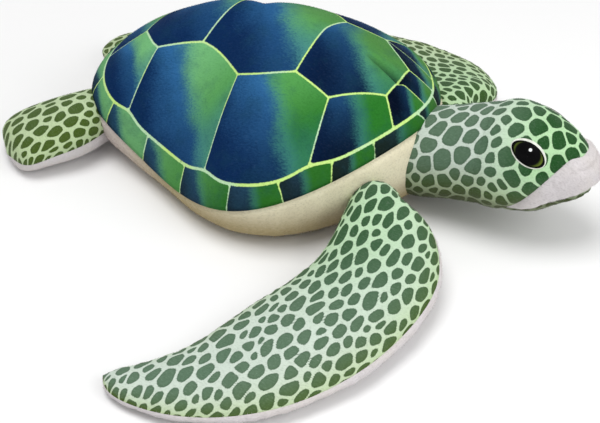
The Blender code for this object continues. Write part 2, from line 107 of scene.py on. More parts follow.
# The lines: the corners that each runs through, and its share of the line width
PLATE_LINES = (
    (("front near", "front notch", "front far", "a far", "ab far", "b far", "bc far", "c far", "rear far"), 1.0),
    (("front near", "a near", "ab near", "b near", "bc near", "c near", "c step", "rear near"), 1.0),
    (("ab near", "ab far"), 0.8), (("bc near", "bc far"), 0.8), (("rear near", "rear far"), 0.8),
    (("front notch", "middle"), 0.5), (("front far", "front far end"), 0.7), (("front near", "g near"), 0.8),
    (("a near", "fg near"), 0.7), (("a far", "fg far"), 0.7), (("b near", "ef near"), 0.6),
    (("b far", "ef far"), 0.6), (("c near", "de near"), 0.6), (("c far", "de far"), 0.6),
    (("a far", "g far"), 0.7), (("rear near", "rear near end"), 0.6), (("rear far", "rear far end"), 0.6),
)
# Marginal dividers, in degrees from the nose at the ring line and at the rim, alike on both sides
MARGIN_LINES = ((9.4, 6.7), (29.9, 31.4), (43.0, 44.4), (59.0, 57.6), (75.0, 75.3), (96.7, 95.6),
                (117.4, 115.2), (138.8, 136.6), (155.7, 153.1), (173.0, 172.0))
SHADE_DIRECTION = Vector((0.78, 0.62))
# The shell's dart runs back from the front notch; its lip swells beside it
DART_END = (0.600, -0.010)
DART_DEPTH = 0.0048
DART_LIP = 0.0022
DART_LIP_PLACE = (0.002, 0.0065, 0.0)
LINE_EMBOSS = 0.00035
FAR_FROM_LINES = 0.05
# Plates whose inmost point is past this share of the rim are margin plates
MARGIN_FROM = 0.88

# Neck and head in one sleeve: along, centre height, half width, half height
SLEEVE_RINGS = (
    (0.128, 0.0420, 0.0340, 0.0340), (0.140, 0.0432, 0.0370, 0.0370), (0.153, 0.0455, 0.0388, 0.0385),
    (0.170, 0.0512, 0.0396, 0.0390), (0.188, 0.0561, 0.0406, 0.0402), (0.205, 0.0607, 0.0426, 0.0424),
    (0.2180, 0.0636, 0.0452, 0.0449), (0.2314, 0.0639, 0.0439, 0.0438), (0.2477, 0.0640, 0.0400, 0.0412),
    (0.2641, 0.0655, 0.0305, 0.0322), (0.2785, 0.0652, 0.0232, 0.0240), (0.2875, 0.0630, 0.0152, 0.0150),
)
SLEEVE_BACK = Vector((0.120, 0.0, 0.041))
SLEEVE_NOSE = Vector((0.2920, 0.0, 0.0624))
NECK_SEAM_ALONG = 0.205
NECK, HEAD, MUZZLE, CHIN = range(4)
# Panels of the sleeve: skin's name and material
HEAD_PANELS = ((NECK, "neck_skin", "green_spots"), (HEAD, "head_skin", "green_spots"),
               (MUZZLE, "muzzle_skin", "white_plush"), (CHIN, "chin_skin", "green_spots"))
# How deep each panel's seam is drawn in, and how much it gathers
HEAD_SEAMS = ((NECK, 0.35, 0.5), (MUZZLE, 0.80, 0.9), (CHIN, 0.5, 0.5))
# The muzzle's seam leans forward with height and reaches on over the nose; the chin's rises forward
MUZZLE_SEAM = (0.2049, 0.797)
NOSE_TONGUE = (0.0085, 0.0145)
CHIN_SEAM = (-0.0662, 0.420)
NOSE_CREASE = Vector((0.2850, 0.0, 0.0765))
# Left eye: centre, direction of its length, direction of its height
EYE = (Vector((0.2434, 0.0313, 0.0892)), Vector((0.8786, -0.0432, -0.4756)), Vector((0.4950, -0.6700, 0.5540)))
EYE_PATCH_SIZE = (0.0294, 0.0195)
PUPIL_SIZE = (0.0272, 0.0166)
EYE_HEM = 0.0012

# Limbs. Stations: forward, outward, half width, half thickness and centre height, as shares.
# Top: where the printed panel starts and ends round the limb, in degrees. Olive and shoulder: how strongly
# these tones show. Stretch: how the spots are squeezed along and across.
FRONT = {
    "reach": 0.242, "width": 0.108, "thickness": 0.034, "radius": 0.0235, "height": 0.0340,
    "root": (0.14051, 0.07811), "tip": (-0.425, 0.956, 0.165), "turn": 0.0, "top": (15.0, 184.0),
    "olive": 0.0, "shoulder": 0.75, "steps": 36, "stretch": (1.28, 0.74),
    "stations": ((0.075, 0.080, 0.362, 0.620, 0.90), (0.134, 0.226, 0.465, 0.530, 0.62),
                 (0.106, 0.414, 0.488, 0.460, 0.455), (0.045, 0.585, 0.515, 0.405, 0.395),
                 (-0.039, 0.764, 0.468, 0.350, 0.340), (-0.169, 0.898, 0.347, 0.290, 0.280),
                 (-0.324, 0.964, 0.193, 0.215, 0.205), (-0.392, 0.960, 0.110, 0.175, 0.180)),
}
HIND = {
    "reach": 0.092, "width": 0.072, "thickness": 0.030, "radius": 0.0255, "height": 0.0265,
    "root": (-0.13917, 0.05414), "tip": (0.033, 0.911, 0.36), "turn": math.radians(38.0), "top": (-4.0, 184.0),
    "olive": 0.90, "shoulder": 0.0, "steps": 20, "stretch": (1.0, 0.80),
    "stations": ((0.110, 0.270, 0.457, 0.84, 0.94), (0.039, 0.469, 0.518, 0.75, 0.76),
                 (0.023, 0.679, 0.524, 0.66, 0.65), (0.031, 0.869, 0.454, 0.525, 0.515)),
}
# The left limbs lie swept further back, and flatter; the far front flipper's olive is painted shade
LIMBS = {
    ("front", -1): FRONT, ("hind", -1): HIND,
    ("front", 1): dict(FRONT, turn=math.radians(53.0), top=(2.0, 184.0), olive=0.75, tip=(-0.425, 0.995, 0.165),
                       stations=((0.075, 0.080, 0.380, 0.620, 0.90), (0.098, 0.225, 0.520, 0.530, 0.62),
                                 (0.070, 0.405, 0.555, 0.460, 0.455), (0.010, 0.570, 0.520, 0.405, 0.395),
                                 (-0.075, 0.740, 0.400, 0.350, 0.340), (-0.190, 0.875, 0.295, 0.290, 0.280),
                                 (-0.325, 0.960, 0.165, 0.215, 0.205), (-0.392, 0.975, 0.100, 0.17, 0.180))),
    ("hind", 1): dict(HIND, turn=math.radians(61.0), reach=0.086, olive=1.0, tip=(0.05, 1.00, 0.24),
                      stations=((0.00, 0.27, 0.440, 0.600, 0.70), (0.00, 0.47, 0.500, 0.540, 0.55),
                                (0.01, 0.68, 0.505, 0.480, 0.47), (0.02, 0.87, 0.400, 0.380, 0.37))),
}

# Tones of the print, the plain plush and the thread beside those that the settings hold. The leaf, front, margin,
# dart, under and low cream tones paint light and shade.
TONES = {
    "lit leaf": (0.172, 0.465, 0.192), "deep leaf": (0.022, 0.165, 0.020), "far shaded leaf": (0.074, 0.215, 0.050),
    "front shade": (0.0002, 0.002, 0.008), "margin shade": (0.003, 0.010, 0.014),
    "margin shade olive": (0.030, 0.050, 0.010), "worn blue": (0.010, 0.055, 0.085),
    "dart crease shade": (0.001, 0.012, 0.012), "worn line": (0.50, 0.74, 0.46), "net nap": (0.66, 0.74, 0.68),
    "pale spot": (0.13, 0.20, 0.13), "spot rim": (0.0, 0.01, 0.0), "under shade olive": (0.035, 0.040, 0.008),
    "rear cream": (0.66, 0.58, 0.57), "low shade cream": (0.36, 0.28, 0.125), "low rear shade cream": (0.58, 0.50, 0.47),
    "cream nap": (0.50, 0.42, 0.26), "white nap": (0.62, 0.56, 0.46), "thread": (0.86, 0.88, 0.80),
    "thread shade": (0.74, 0.77, 0.68), "pupil": (0.002, 0.002, 0.0025), "iris": (0.03, 0.045, 0.008),
    "iris edge": (0.13, 0.18, 0.022), "glint": (0.92, 0.95, 0.95),
}

AROUND = 192
FLOOR_CLEARANCE = 0.0004
PILE_CLEARANCE = 0.0002

# Spots, large ones first: radius as a share of their spacing, and how many places are tried
SPOT_SIZES = ((0.58, 0.25), (0.50, 2.0), (0.43, 9.0), (0.37, 8.0))
SMALL_SPOT = 0.33
LIMB_SPOT = 0.84
HEAD_NET = 0.85
SPOT_OVERLAP = 0.97
SPOT_ROUNDS = 4
# A band of small spots runs round the head behind the eyes: place on the flat fabric, half width
HEAD_BAND = (1.0165, 0.0065)

# Tufts on a square metre
PILE_DENSITY = {"shell_print": 520000.0, "green_spots": 620000.0, "cream_plush": 420000.0,
                "white_plush": 700000.0}
PILE_LEAN = 1.15

FLOOR_CORNERS = [(-6, -6, -0.0004), (6, -6, -0.0004), (6, 6, -0.0004), (-6, 6, -0.0004)]
SKY_STRENGTH = 0.52
# Lights: place, what they face, and size
KEY_LIGHT = ((-0.15, -0.35, 1.9), (0.0, 0.0, 0.05), 1.3)
FILL_LIGHT = ((1.6, -0.25, 0.95), (0.05, -0.05, 0.05), 1.4)
CAMERA_AZIMUTH, CAMERA_ELEVATION = math.radians(27.236), math.radians(36.246)
CAMERA_TARGET = Vector((0.06807, -0.06769, 0.0))
CAMERA_DISTANCE = 1.07777
CAMERA_LENS = 78.40


# Settings

def metres(name, description, default, **limits):
    return FloatProperty(name=name, description=description, default=default, unit="LENGTH", **limits)


def tint(name, description, default):
    return FloatVectorProperty(name=name, description=description, default=default, subtype="COLOR")


class ShellSettings(bpy.types.PropertyGroup):
    grid: metres("Grid", "Distance between the shell's points", 0.0021, min=0.001)
    line_width: metres("Plate Line", "Width of the printed plate lines", 0.0017)
    ring_width: metres("Ring Line", "Width of the line round the plates", 0.0024)
    navy: tint("Navy", "Darkest end of each plate", (0.0030, 0.0220, 0.085))
    blue: tint("Blue", "Middle of each plate", (0.029, 0.136, 0.320))
    teal: tint("Teal", "Between blue and green", (0.050, 0.200, 0.235))
    green: tint("Green", "Bright end of each plate", (0.085, 0.320, 0.078))
    line: tint("Line", "Printed line colour", (0.56, 0.80, 0.24))


class PlushSettings(bpy.types.PropertyGroup):
    spot: tint("Spots", "Spots on neck and flippers", (0.100, 0.180, 0.112))
    # The olive spots and net also paint shade where the fabric faces down
    face_spot: tint("Face Spots", "Spots round the face", (0.012, 0.075, 0.013))
    olive_spot: tint("Olive Spots", "Spots near edges and on the hind flippers", (0.058, 0.105, 0.012))
    net: tint("Net", "Pale net between the spots", (0.576, 0.665, 0.582))
    face_net: tint("Face Net", "Net round the face", (0.433, 0.670, 0.383))
    olive_net: tint("Olive Net", "Net near edges and on the hind flippers", (0.470, 0.590, 0.335))
    cream: tint("Cream", "Belly plush", (0.850, 0.790, 0.590))
    white: tint("White", "Muzzle and flipper undersides", (0.640, 0.605, 0.615))
    spot_size: metres("Spot Size", "From one printed spot to the next", 0.0126)
    net_width: metres("Net Width", "Width of the net between spots", 0.0021)
    seam_depth: metres("Seam Depth", "How far a seam pulls in", 0.0016)
    seam_width: metres("Seam Width", "How wide a seam pulls in", 0.0042)
    pucker: metres("Pucker", "Height of the small gathers along a seam", 0.0009)
    hem: metres("Hem", "Fabric turned in at a seam", 0.0050)


class PileSettings(bpy.types.PropertyGroup):
    short: metres("Short Pile", "Pile of the printed plush", 0.0016)
    long: metres("Long Pile", "Pile of the plain plush", 0.0030)
    width: metres("Fibre Width", "Width of one tuft", 0.00040)
    seed: IntProperty(name="Seed", description="Start of the random places", default=7)


class StageSettings(bpy.types.PropertyGroup):
    floor: tint("Floor", "Floor colour", (0.90, 0.90, 0.90))
    key: FloatProperty(name="Key Light", description="Power of the main light", default=20.0)
    fill: FloatProperty(name="Fill Light", description="Power of the fill light", default=13.0)


# Numbers of the forms

def bell(away, width):
    """A hump of height one, which falls away over a width."""
    return np.exp(-(away / width) ** 2)


def rim(angle):
    """The seam between shell and belly at angles from the nose."""
    x = HALF_LENGTH * np.cos(angle)
    y = HALF_WIDTH * sum(share * np.sin(order * angle) for order, share in enumerate(RIM_WIDTH_WAVES, 1))
    z = RIM_HEIGHT * (1.0 + sum(share * np.cos(order * angle) for order, share in enumerate(RIM_HEIGHT_WAVES, 1)))
    return x, y, z - FLANK_DROP * bell(np.abs(angle) - 1.78, 0.38)


def dome(plan):
    """The shell's surface over places in the unit disc."""
    share = np.minimum(np.hypot(plan[:, 0], plan[:, 1]), 1.0)
    x, y, z = rim(np.arctan2(plan[:, 1], plan[:, 0]))
    crown = DOME_RISE * (1.0 - ((share ** 2 + 0.0025) / 1.0025) ** (DOME_FALL / 2.0)) ** DOME_ROUND
    return np.stack([x * share, y * share, RIM_HEIGHT + share * (z - RIM_HEIGHT) + crown], 1)


def turned(degrees):
    """An angle as every line uses it, so that lines that meet share their points."""
    return round(math.radians(degrees), 6)


def ring_share(angle):
    """Where the ring line runs, with a small pull towards the middle at each plate line."""
    share = 0.934 + 0.016 * np.cos(angle) - 0.027 * bell(np.abs(angle) - 1.55, 0.55)
    for place in RING_JOINS.values():
        if 40.0 < abs(place) < 140.0:
            share = share - 0.020 * bell(angle - turned(place), 0.10)
    return share


def b_spline(rows, steps):
    """Points along a smooth curve led by rows of numbers."""
    rows = np.asarray(rows, float)
    out = []
    for first in range(len(rows) - 3):
        u = np.linspace(0.0, 1.0, steps, endpoint=False)[:, None]
        a, b, c, d = rows[first:first + 4]
        out.append(((1 - u) ** 3 * a + (3 * u ** 3 - 6 * u ** 2 + 4) * b
                    + (-3 * u ** 3 + 3 * u ** 2 + 3 * u + 1) * c + u ** 3 * d) / 6.0)
    return np.vstack(out)


def disc(share, angle):
    return share * np.cos(angle), share * np.sin(angle)


def plate_corner(name):
    if name in PLATE_CORNERS:
        return PLATE_CORNERS[name]
    angle = turned(RING_JOINS[name])
    return disc(float(ring_share(angle)), angle)


# Meshes

def link(name, mesh):
    piece = bpy.data.objects.new(name, mesh)
    bpy.context.scene.collection.objects.link(piece)
    return piece


def mesh_from(name, places, faces):
    mesh = bpy.data.meshes.new(name)
    mesh.from_pydata([tuple(p) for p in places], [], [tuple(f) for f in faces])
    mesh.update()
    return mesh


def store(mesh, name, values, domain="POINT", kind="FLOAT"):
    layer = mesh.attributes.new(name, kind, domain)
    key = "vector" if kind == "FLOAT_VECTOR" else "value"
    layer.data.foreach_set(key, np.asarray(values, np.float32).ravel())


def points_of(mesh):
    co = np.zeros(len(mesh.vertices) * 3)
    mesh.vertices.foreach_get("co", co)
    return co.reshape(-1, 3)


def stored(mesh, name):
    """Values kept on a mesh's points, numbers or places."""
    layer = mesh.attributes[name]
    places = layer.data_type == "FLOAT_VECTOR"
    values = np.zeros(len(mesh.vertices) * (3 if places else 1), np.float32)
    layer.data.foreach_get("vector" if places else "value", values)
    return values.reshape(-1, 3) if places else values


def set_points(mesh, places):
    mesh.vertices.foreach_set("co", np.asarray(places, np.float32).ravel())
    mesh.update()


def keep_above(mesh, height):
    places = points_of(mesh)
    places[:, 2] = np.maximum(places[:, 2], height)
    set_points(mesh, places)


def normals_of(mesh):
    n = np.zeros(len(mesh.vertices) * 3)
    mesh.vertex_normals.foreach_get("vector", n)
    return n.reshape(-1, 3)


def spun_form(name, rings, start, end, steps, panel_of):
    """A closed smooth form led by equal rings of points and drawn together at both ends."""
    count = len(rings[0])
    first, last = np.tile(start, (count, 1)), np.tile(end, (count, 1))
    rows = np.array([2.0 * first - rings[0], first, *rings, last, 2.0 * last - rings[-1]])
    places = b_spline(rows.reshape(len(rows), -1), steps).reshape(-1, count, 3)[1:]
    total = len(places)
    faces = []
    for row in range(-1, total):
        low, high = row * count, (row + 1) * count
        for i in range(count):
            j = (i + 1) % count
            if row < 0:
                faces.append((total * count, j, i))
            elif row == total - 1:
                faces.append((low + i, low + j, total * count + 1))
            else:
                faces.append((low + i, low + j, high + j, high + i))
    mesh = mesh_from(name, np.vstack([places.reshape(-1, 3), [start], [end]]), faces)
    mesh.polygons.foreach_set("material_index", [panel_of(i) for i in range(count)] * (total + 1))
    # Close to both ends there is no room to turn fabric in
    places = points_of(mesh)
    away = np.minimum(np.linalg.norm(places - start, axis=1), np.linalg.norm(places - end, axis=1))
    store(mesh, "room", np.clip(away / 0.014, 0.0, 1.0))
    return mesh


def band_faces(first, count, bands):
    """Faces of bands between closed rows of points, from a first point on."""
    return [(low + i, low + count + i, low + count + (i + 1) % count, low + (i + 1) % count)
            for low in range(first, first + bands * count, count) for i in range(count)]


def face_outward(mesh):
    count = len(mesh.polygons)
    centre, normal, area = np.zeros(count * 3), np.zeros(count * 3), np.zeros(count)
    mesh.polygons.foreach_get("center", centre)
    mesh.polygons.foreach_get("normal", normal)
    mesh.polygons.foreach_get("area", area)
    if (centre * normal).reshape(-1, 3).sum(1) @ area < 0.0:
        mesh.flip_normals()


def nearest(places, targets):
    """Distance from each place to the nearest target, and which one it is."""
    tree = kdtree.KDTree(len(targets))
    for index, place in enumerate(targets):
        tree.insert(place, index)
    tree.balance()
    found = [tree.find(p) for p in places]
    return np.array([f[2] for f in found]), np.array([f[1] for f in found])


def pull_seam(mesh, targets, depth, width, pucker=0.0):
    """Draws a form in along a line of points, as a sewn seam does, with small gathers that run from it."""
    places, normals = points_of(mesh), normals_of(mesh)
    gap, which = nearest(places, targets)
    gather = np.array([noise.noise(Vector(t) / 0.0052) + 0.6 * noise.noise(Vector(t) / 0.0145) for t in targets])
    rise = pucker * gather[which] * bell(gap - 0.004, 0.0075) * (1.0 - bell(gap, 0.0028))
    move = rise - depth * bell(gap, width)
    if "room" in mesh.attributes:
        move = move * stored(mesh, "room")
    set_points(mesh, places + normals * move[:, None])


def lay_spots(flat, size, net, seed, roundness, band):
    """Rounded spots packed on flat fabric: how far inside a spot each place lies, and the spot's shade."""
    random = np.random.default_rng(seed)
    low, high = flat.min(0) - size * 0.4, flat.max(0) + size * 0.4
    area = float(np.prod(high - low)) / size ** 2
    centres, radii = np.zeros((0, 2)), np.zeros(0)
    for share, tries in SPOT_SIZES:
        for place in random.uniform(low, high, (int(tries * area), 2)):
            radius = size * share * (0.9 + 0.2 * random.random())
            if band and abs(place[0] - band[0]) < band[1]:
                radius = min(radius, size * SMALL_SPOT)
            if len(radii) and (np.hypot(*(centres - place).T) < (radii + radius) * SPOT_OVERLAP).any():
                continue
            centres, radii = np.vstack([centres, place]), np.append(radii, radius)
    some = flat[random.permutation(len(flat))[:5000]]
    for _ in range(SPOT_ROUNDS):
        own = (((some[:, None] - centres[None]) ** 2).sum(2) - radii ** 2).argmin(1)
        held = np.bincount(own, minlength=len(radii))
        for axis in range(2):
            mean = np.bincount(own, some[:, axis], len(radii)) / np.maximum(held, 1)
            centres[:, axis] = np.where(held > 3, 0.5 * centres[:, axis] + 0.5 * mean, centres[:, axis])
    apart = np.hypot(*(centres[:, None] - centres[None]).transpose(2, 0, 1))
    np.fill_diagonal(apart, 1.0)
    turn = random.uniform(0.0, math.pi, len(radii))
    stretch = random.uniform(0.0, 0.50, len(radii))
    soft = net * 0.45
    inside = np.zeros(len(flat))
    shade = np.zeros(len(flat))
    for start in range(0, len(flat), 3000):
        part = flat[start:start + 3000]
        away = part[:, None] - centres[None]
        power = (away ** 2).sum(2) - radii ** 2
        own = power.argmin(1)
        rows = np.arange(len(part))
        border = (power - power[rows, own][:, None]) / (2.0 * apart[own])
        border[rows, own] = 1.0
        off = away[rows, own]
        lengthwise = off[:, 0] * np.cos(turn[own]) + off[:, 1] * np.sin(turn[own])
        reach = np.hypot(*off.T) + stretch[own] * (np.abs(lengthwise) * -0.5)
        round_it = radii[own] * roundness - reach
        total = np.exp(-border / soft).sum(1) + np.exp(-round_it / soft)
        inside[start:start + 3000] = -soft * np.log(np.maximum(total, 1e-12)) - net / 2.0
        shade[start:start + 3000] = turn[own] / math.pi
    return inside, shade


def print_spots(mesh, flat, size, net, seed, face, stretch, olive=0.0, band=None, shift=0.0, roundness=1.33):
    """Stores the printed spots and their tones on a form's points, and painted shade where the fabric faces down.
    """
    sway = np.array([[noise.noise(Vector((p[0] / 0.022 + seed, p[1] / 0.022, layer)) + Vector((7.3, 1.9, 0.0)))
                      for layer in (0.0, 5.7)] for p in flat])
    bent = (flat + sway * 0.0022) * np.array(stretch)
    inside, shade = lay_spots(bent, size, net, seed, roundness, band)
    store(mesh, "spot_inside", inside)
    store(mesh, "spot_shade", shade)
    store(mesh, "face_tone", face)
    facing = normals_of(mesh)[:, 2]
    # Painted shade: olive where the fabric faces sideways and down, added to the limb's own olive
    low = np.interp(facing - shift, (-0.3, 0.3, 0.82), (1.0, 0.8, 0.0))
    store(mesh, "olive_tone", np.clip(low + olive, 0.0, 1.0))
    # Painted shade under the forms, where they face the floor
    store(mesh, "under_tone", np.interp(facing, (-0.62, -0.15), (1.0, 0.0)))


def panel_edge(mesh, panel):
    """Points of a form on the border of one panel."""
    counts = {}
    for face in mesh.polygons:
        inside = face.material_index == panel
        for vertex in face.vertices:
            counts.setdefault(vertex, set()).add(inside)
    return [mesh.vertices[v].co.copy() for v, kinds in counts.items() if len(kinds) == 2]


def soft_dents(mesh, size, depth, seed, fade=1.0):
    """Small uneven swellings, as loose filling leaves under the fabric."""
    places, normals = points_of(mesh), normals_of(mesh)
    shift = Vector((seed * 3.1, seed * 1.7, seed * 0.9))
    bumps = np.array([noise.noise(Vector(p) / size + shift) for p in places])
    set_points(mesh, places + normals * (bumps * depth * fade)[:, None])


def take_panel(form, panel, hem, toward=None):
    """One panel of a form as its own mesh, its edges turned in at the seams, or towards a height on the axis."""
    part = bmesh.new()
    part.from_mesh(form)
    inward = part.verts.layers.float_vector.new("inward")
    room = part.verts.layers.float.get("room")
    part.normal_update()
    for point in part.verts:
        point[inward] = -point.normal * (point[room] if room else 1.0)
        if toward is not None:
            point[inward] = (Vector((point.co.x * 0.5, point.co.y * 0.5, toward)) - point.co).normalized()
    bmesh.ops.delete(part, geom=[f for f in part.faces if f.material_index != panel], context="FACES")
    border = [e for e in part.edges if e.is_boundary]
    for step in (hem * 0.35, hem * 0.65):
        made = bmesh.ops.extrude_edge_only(part, edges=border)["geom"]
        for point in (g for g in made if isinstance(g, bmesh.types.BMVert)):
            point.co += point[inward] * step
        border = [g for g in made if isinstance(g, bmesh.types.BMEdge) and g.is_boundary]
    part.verts.layers.float_vector.remove(inward)
    mesh = bpy.data.meshes.new("panel")
    part.to_mesh(mesh)
    part.free()
    return mesh


def finish_skin(name, mesh, material):
    mesh.name = name
    mesh.materials.clear()
    mesh.materials.append(material)
    mesh.polygons.foreach_set("material_index", np.zeros(len(mesh.polygons), np.int32))
    mesh.shade_smooth()
    if "print_place" not in mesh.attributes:
        store(mesh, "print_place", points_of(mesh), kind="FLOAT_VECTOR")
    return link(name, mesh)


# Materials

class Nodes:
    """A short way to write a node tree."""

    def __init__(self, tree):
        self.tree = tree

    def add(self, kind, inputs=(), **settings):
        node = self.tree.nodes.new(kind)
        for key, value in settings.items():
            setattr(node, key, value)
        for key, value in dict(inputs).items():
            socket = node.inputs[key]
            if isinstance(value, bpy.types.NodeSocket):
                self.tree.links.new(value, socket)
            else:
                socket.default_value = value
        return node

    def math(self, operation, a, b=0.0):
        return self.add("ShaderNodeMath", {0: a, 1: b}, operation=operation).outputs[0]

    def times(self, a, b):
        return self.math("MULTIPLY", a, b)

    def plus(self, a, b):
        return self.math("ADD", a, b)

    def minus(self, a, b):
        return self.math("SUBTRACT", a, b)

    def swing(self, value, amount):
        """Moves either way by a share of how far a value is from a half."""
        return self.times(self.minus(value, 0.5), amount)

    def vector(self, operation, a, b):
        return self.add("ShaderNodeVectorMath", {0: a, 1: b}, operation=operation).outputs[0]

    def scaled(self, a, factor):
        return self.add("ShaderNodeVectorMath", {0: a, "Scale": factor}, operation="SCALE").outputs[0]

    def length(self, a):
        return self.add("ShaderNodeVectorMath", {0: a}, operation="LENGTH").outputs["Value"]

    def span(self, value, low, high, out_low=0.0, out_high=1.0):
        return self.add("ShaderNodeMapRange", {0: value, 1: low, 2: high, 3: out_low, 4: out_high},
                        interpolation_type="SMOOTHSTEP").outputs[0]

    def mix(self, factor, a, b):
        node = self.add("ShaderNodeMix", data_type="RGBA")
        for socket, value in ((node.inputs[0], factor), (node.inputs[6], a), (node.inputs[7], b)):
            if isinstance(value, bpy.types.NodeSocket):
                self.tree.links.new(value, socket)
            else:
                socket.default_value = (*value, 1.0) if hasattr(value, "__len__") and len(value) == 3 else value
        return node.outputs[2]

    def noise(self, vector, scale, detail=2.0, roughness=0.5):
        return self.add("ShaderNodeTexNoise", {"Vector": vector, "Scale": scale, "Detail": detail,
                                               "Roughness": roughness}).outputs[0]

    def attribute(self, name, output="Fac"):
        return self.add("ShaderNodeAttribute", attribute_name=name).outputs[output]


def add_inputs(tree, inputs):
    for label, kind, value in inputs:
        socket = tree.interface.new_socket(label, in_out="INPUT", socket_type=kind)
        if value is not None:
            socket.default_value = value


def pile_group():
    """Fleck and height of a short cut pile: combed fibres, nap patches and clumps."""
    group = bpy.data.node_groups.new("Cut Pile", "ShaderNodeTree")
    add_inputs(group, (("Place", "NodeSocketVector", None), ("Fibre", "NodeSocketFloat", 0.0012)))
    for label in ("Fleck", "Nap", "Height"):
        group.interface.new_socket(label, in_out="OUTPUT", socket_type="NodeSocketFloat")
    n = Nodes(group)
    given, out = n.add("NodeGroupInput").outputs, n.add("NodeGroupOutput").inputs
    scale = n.math("DIVIDE", 1.0, given["Fibre"])
    combed = n.vector("MULTIPLY", given["Place"], (0.45, 1.0, 1.0))
    waver = n.noise(given["Place"], 160.0, 2.0)
    sway = n.add("ShaderNodeCombineXYZ", {0: waver, 1: waver, 2: waver}).outputs[0]
    fibre = n.noise(n.vector("ADD", combed, n.scaled(sway, 0.002)), scale, 3.0, 0.7)
    clump = n.noise(given["Place"], 260.0, 2.0, 0.6)
    nap = n.noise(given["Place"], 24.0, 2.0, 0.5)
    group.links.new(fibre, out["Fleck"])
    group.links.new(n.span(nap, 0.35, 0.65), out["Nap"])
    group.links.new(n.plus(n.times(fibre, 0.6), n.times(clump, 0.5)), out["Height"])
    return group


def new_material(name):
    material = bpy.data.materials.new(name)
    material.use_nodes = True
    tree = material.node_tree
    return material, tree, Nodes(tree), tree.nodes["Principled BSDF"]


def plush_material(name, cut_pile, colour_of, fibre, bump, roughness=0.92, sheen=0.10, specular=0.2, sheen_fleck_tone=0.82):
    """A plush with its fleck, nap and bump, its pale flecks fibre tone with painted sheen; colour_of gives the
    colour before them, print with painted light and shade on some fabrics.
    """
    material, tree, n, shader = new_material(name)
    place = n.attribute("print_place", "Vector")
    pile = n.add("ShaderNodeGroup", node_tree=cut_pile)
    tree.links.new(place, pile.inputs["Place"])
    pile.inputs["Fibre"].default_value = fibre
    fleck, nap, height = (pile.outputs[k] for k in ("Fleck", "Nap", "Height"))
    colour, lift = colour_of(n, place, fleck, nap)
    dark = n.mix(n.span(fleck, 0.25, 0.55, 0.20, 0.0), colour, (0.0, 0.0, 0.0))
    # Pale flecks: fibre tone with painted sheen glints
    light = n.mix(n.times(n.span(fleck, 0.52, 0.80), lift), dark, (sheen_fleck_tone, sheen_fleck_tone, sheen_fleck_tone))
    tree.links.new(light, shader.inputs["Base Color"])
    tree.links.new(n.span(fleck, 0.3, 0.7, roughness, roughness - 0.14), shader.inputs["Roughness"])
    bumped = n.add("ShaderNodeBump", {"Strength": bump, "Distance": 0.0009, "Height": height})
    tree.links.new(bumped.outputs[0], shader.inputs["Normal"])
    shader.inputs["Sheen Weight"].default_value = sheen
    shader.inputs["Sheen Roughness"].default_value = 0.45
    shader.inputs["Specular IOR Level"].default_value = specular
    return material


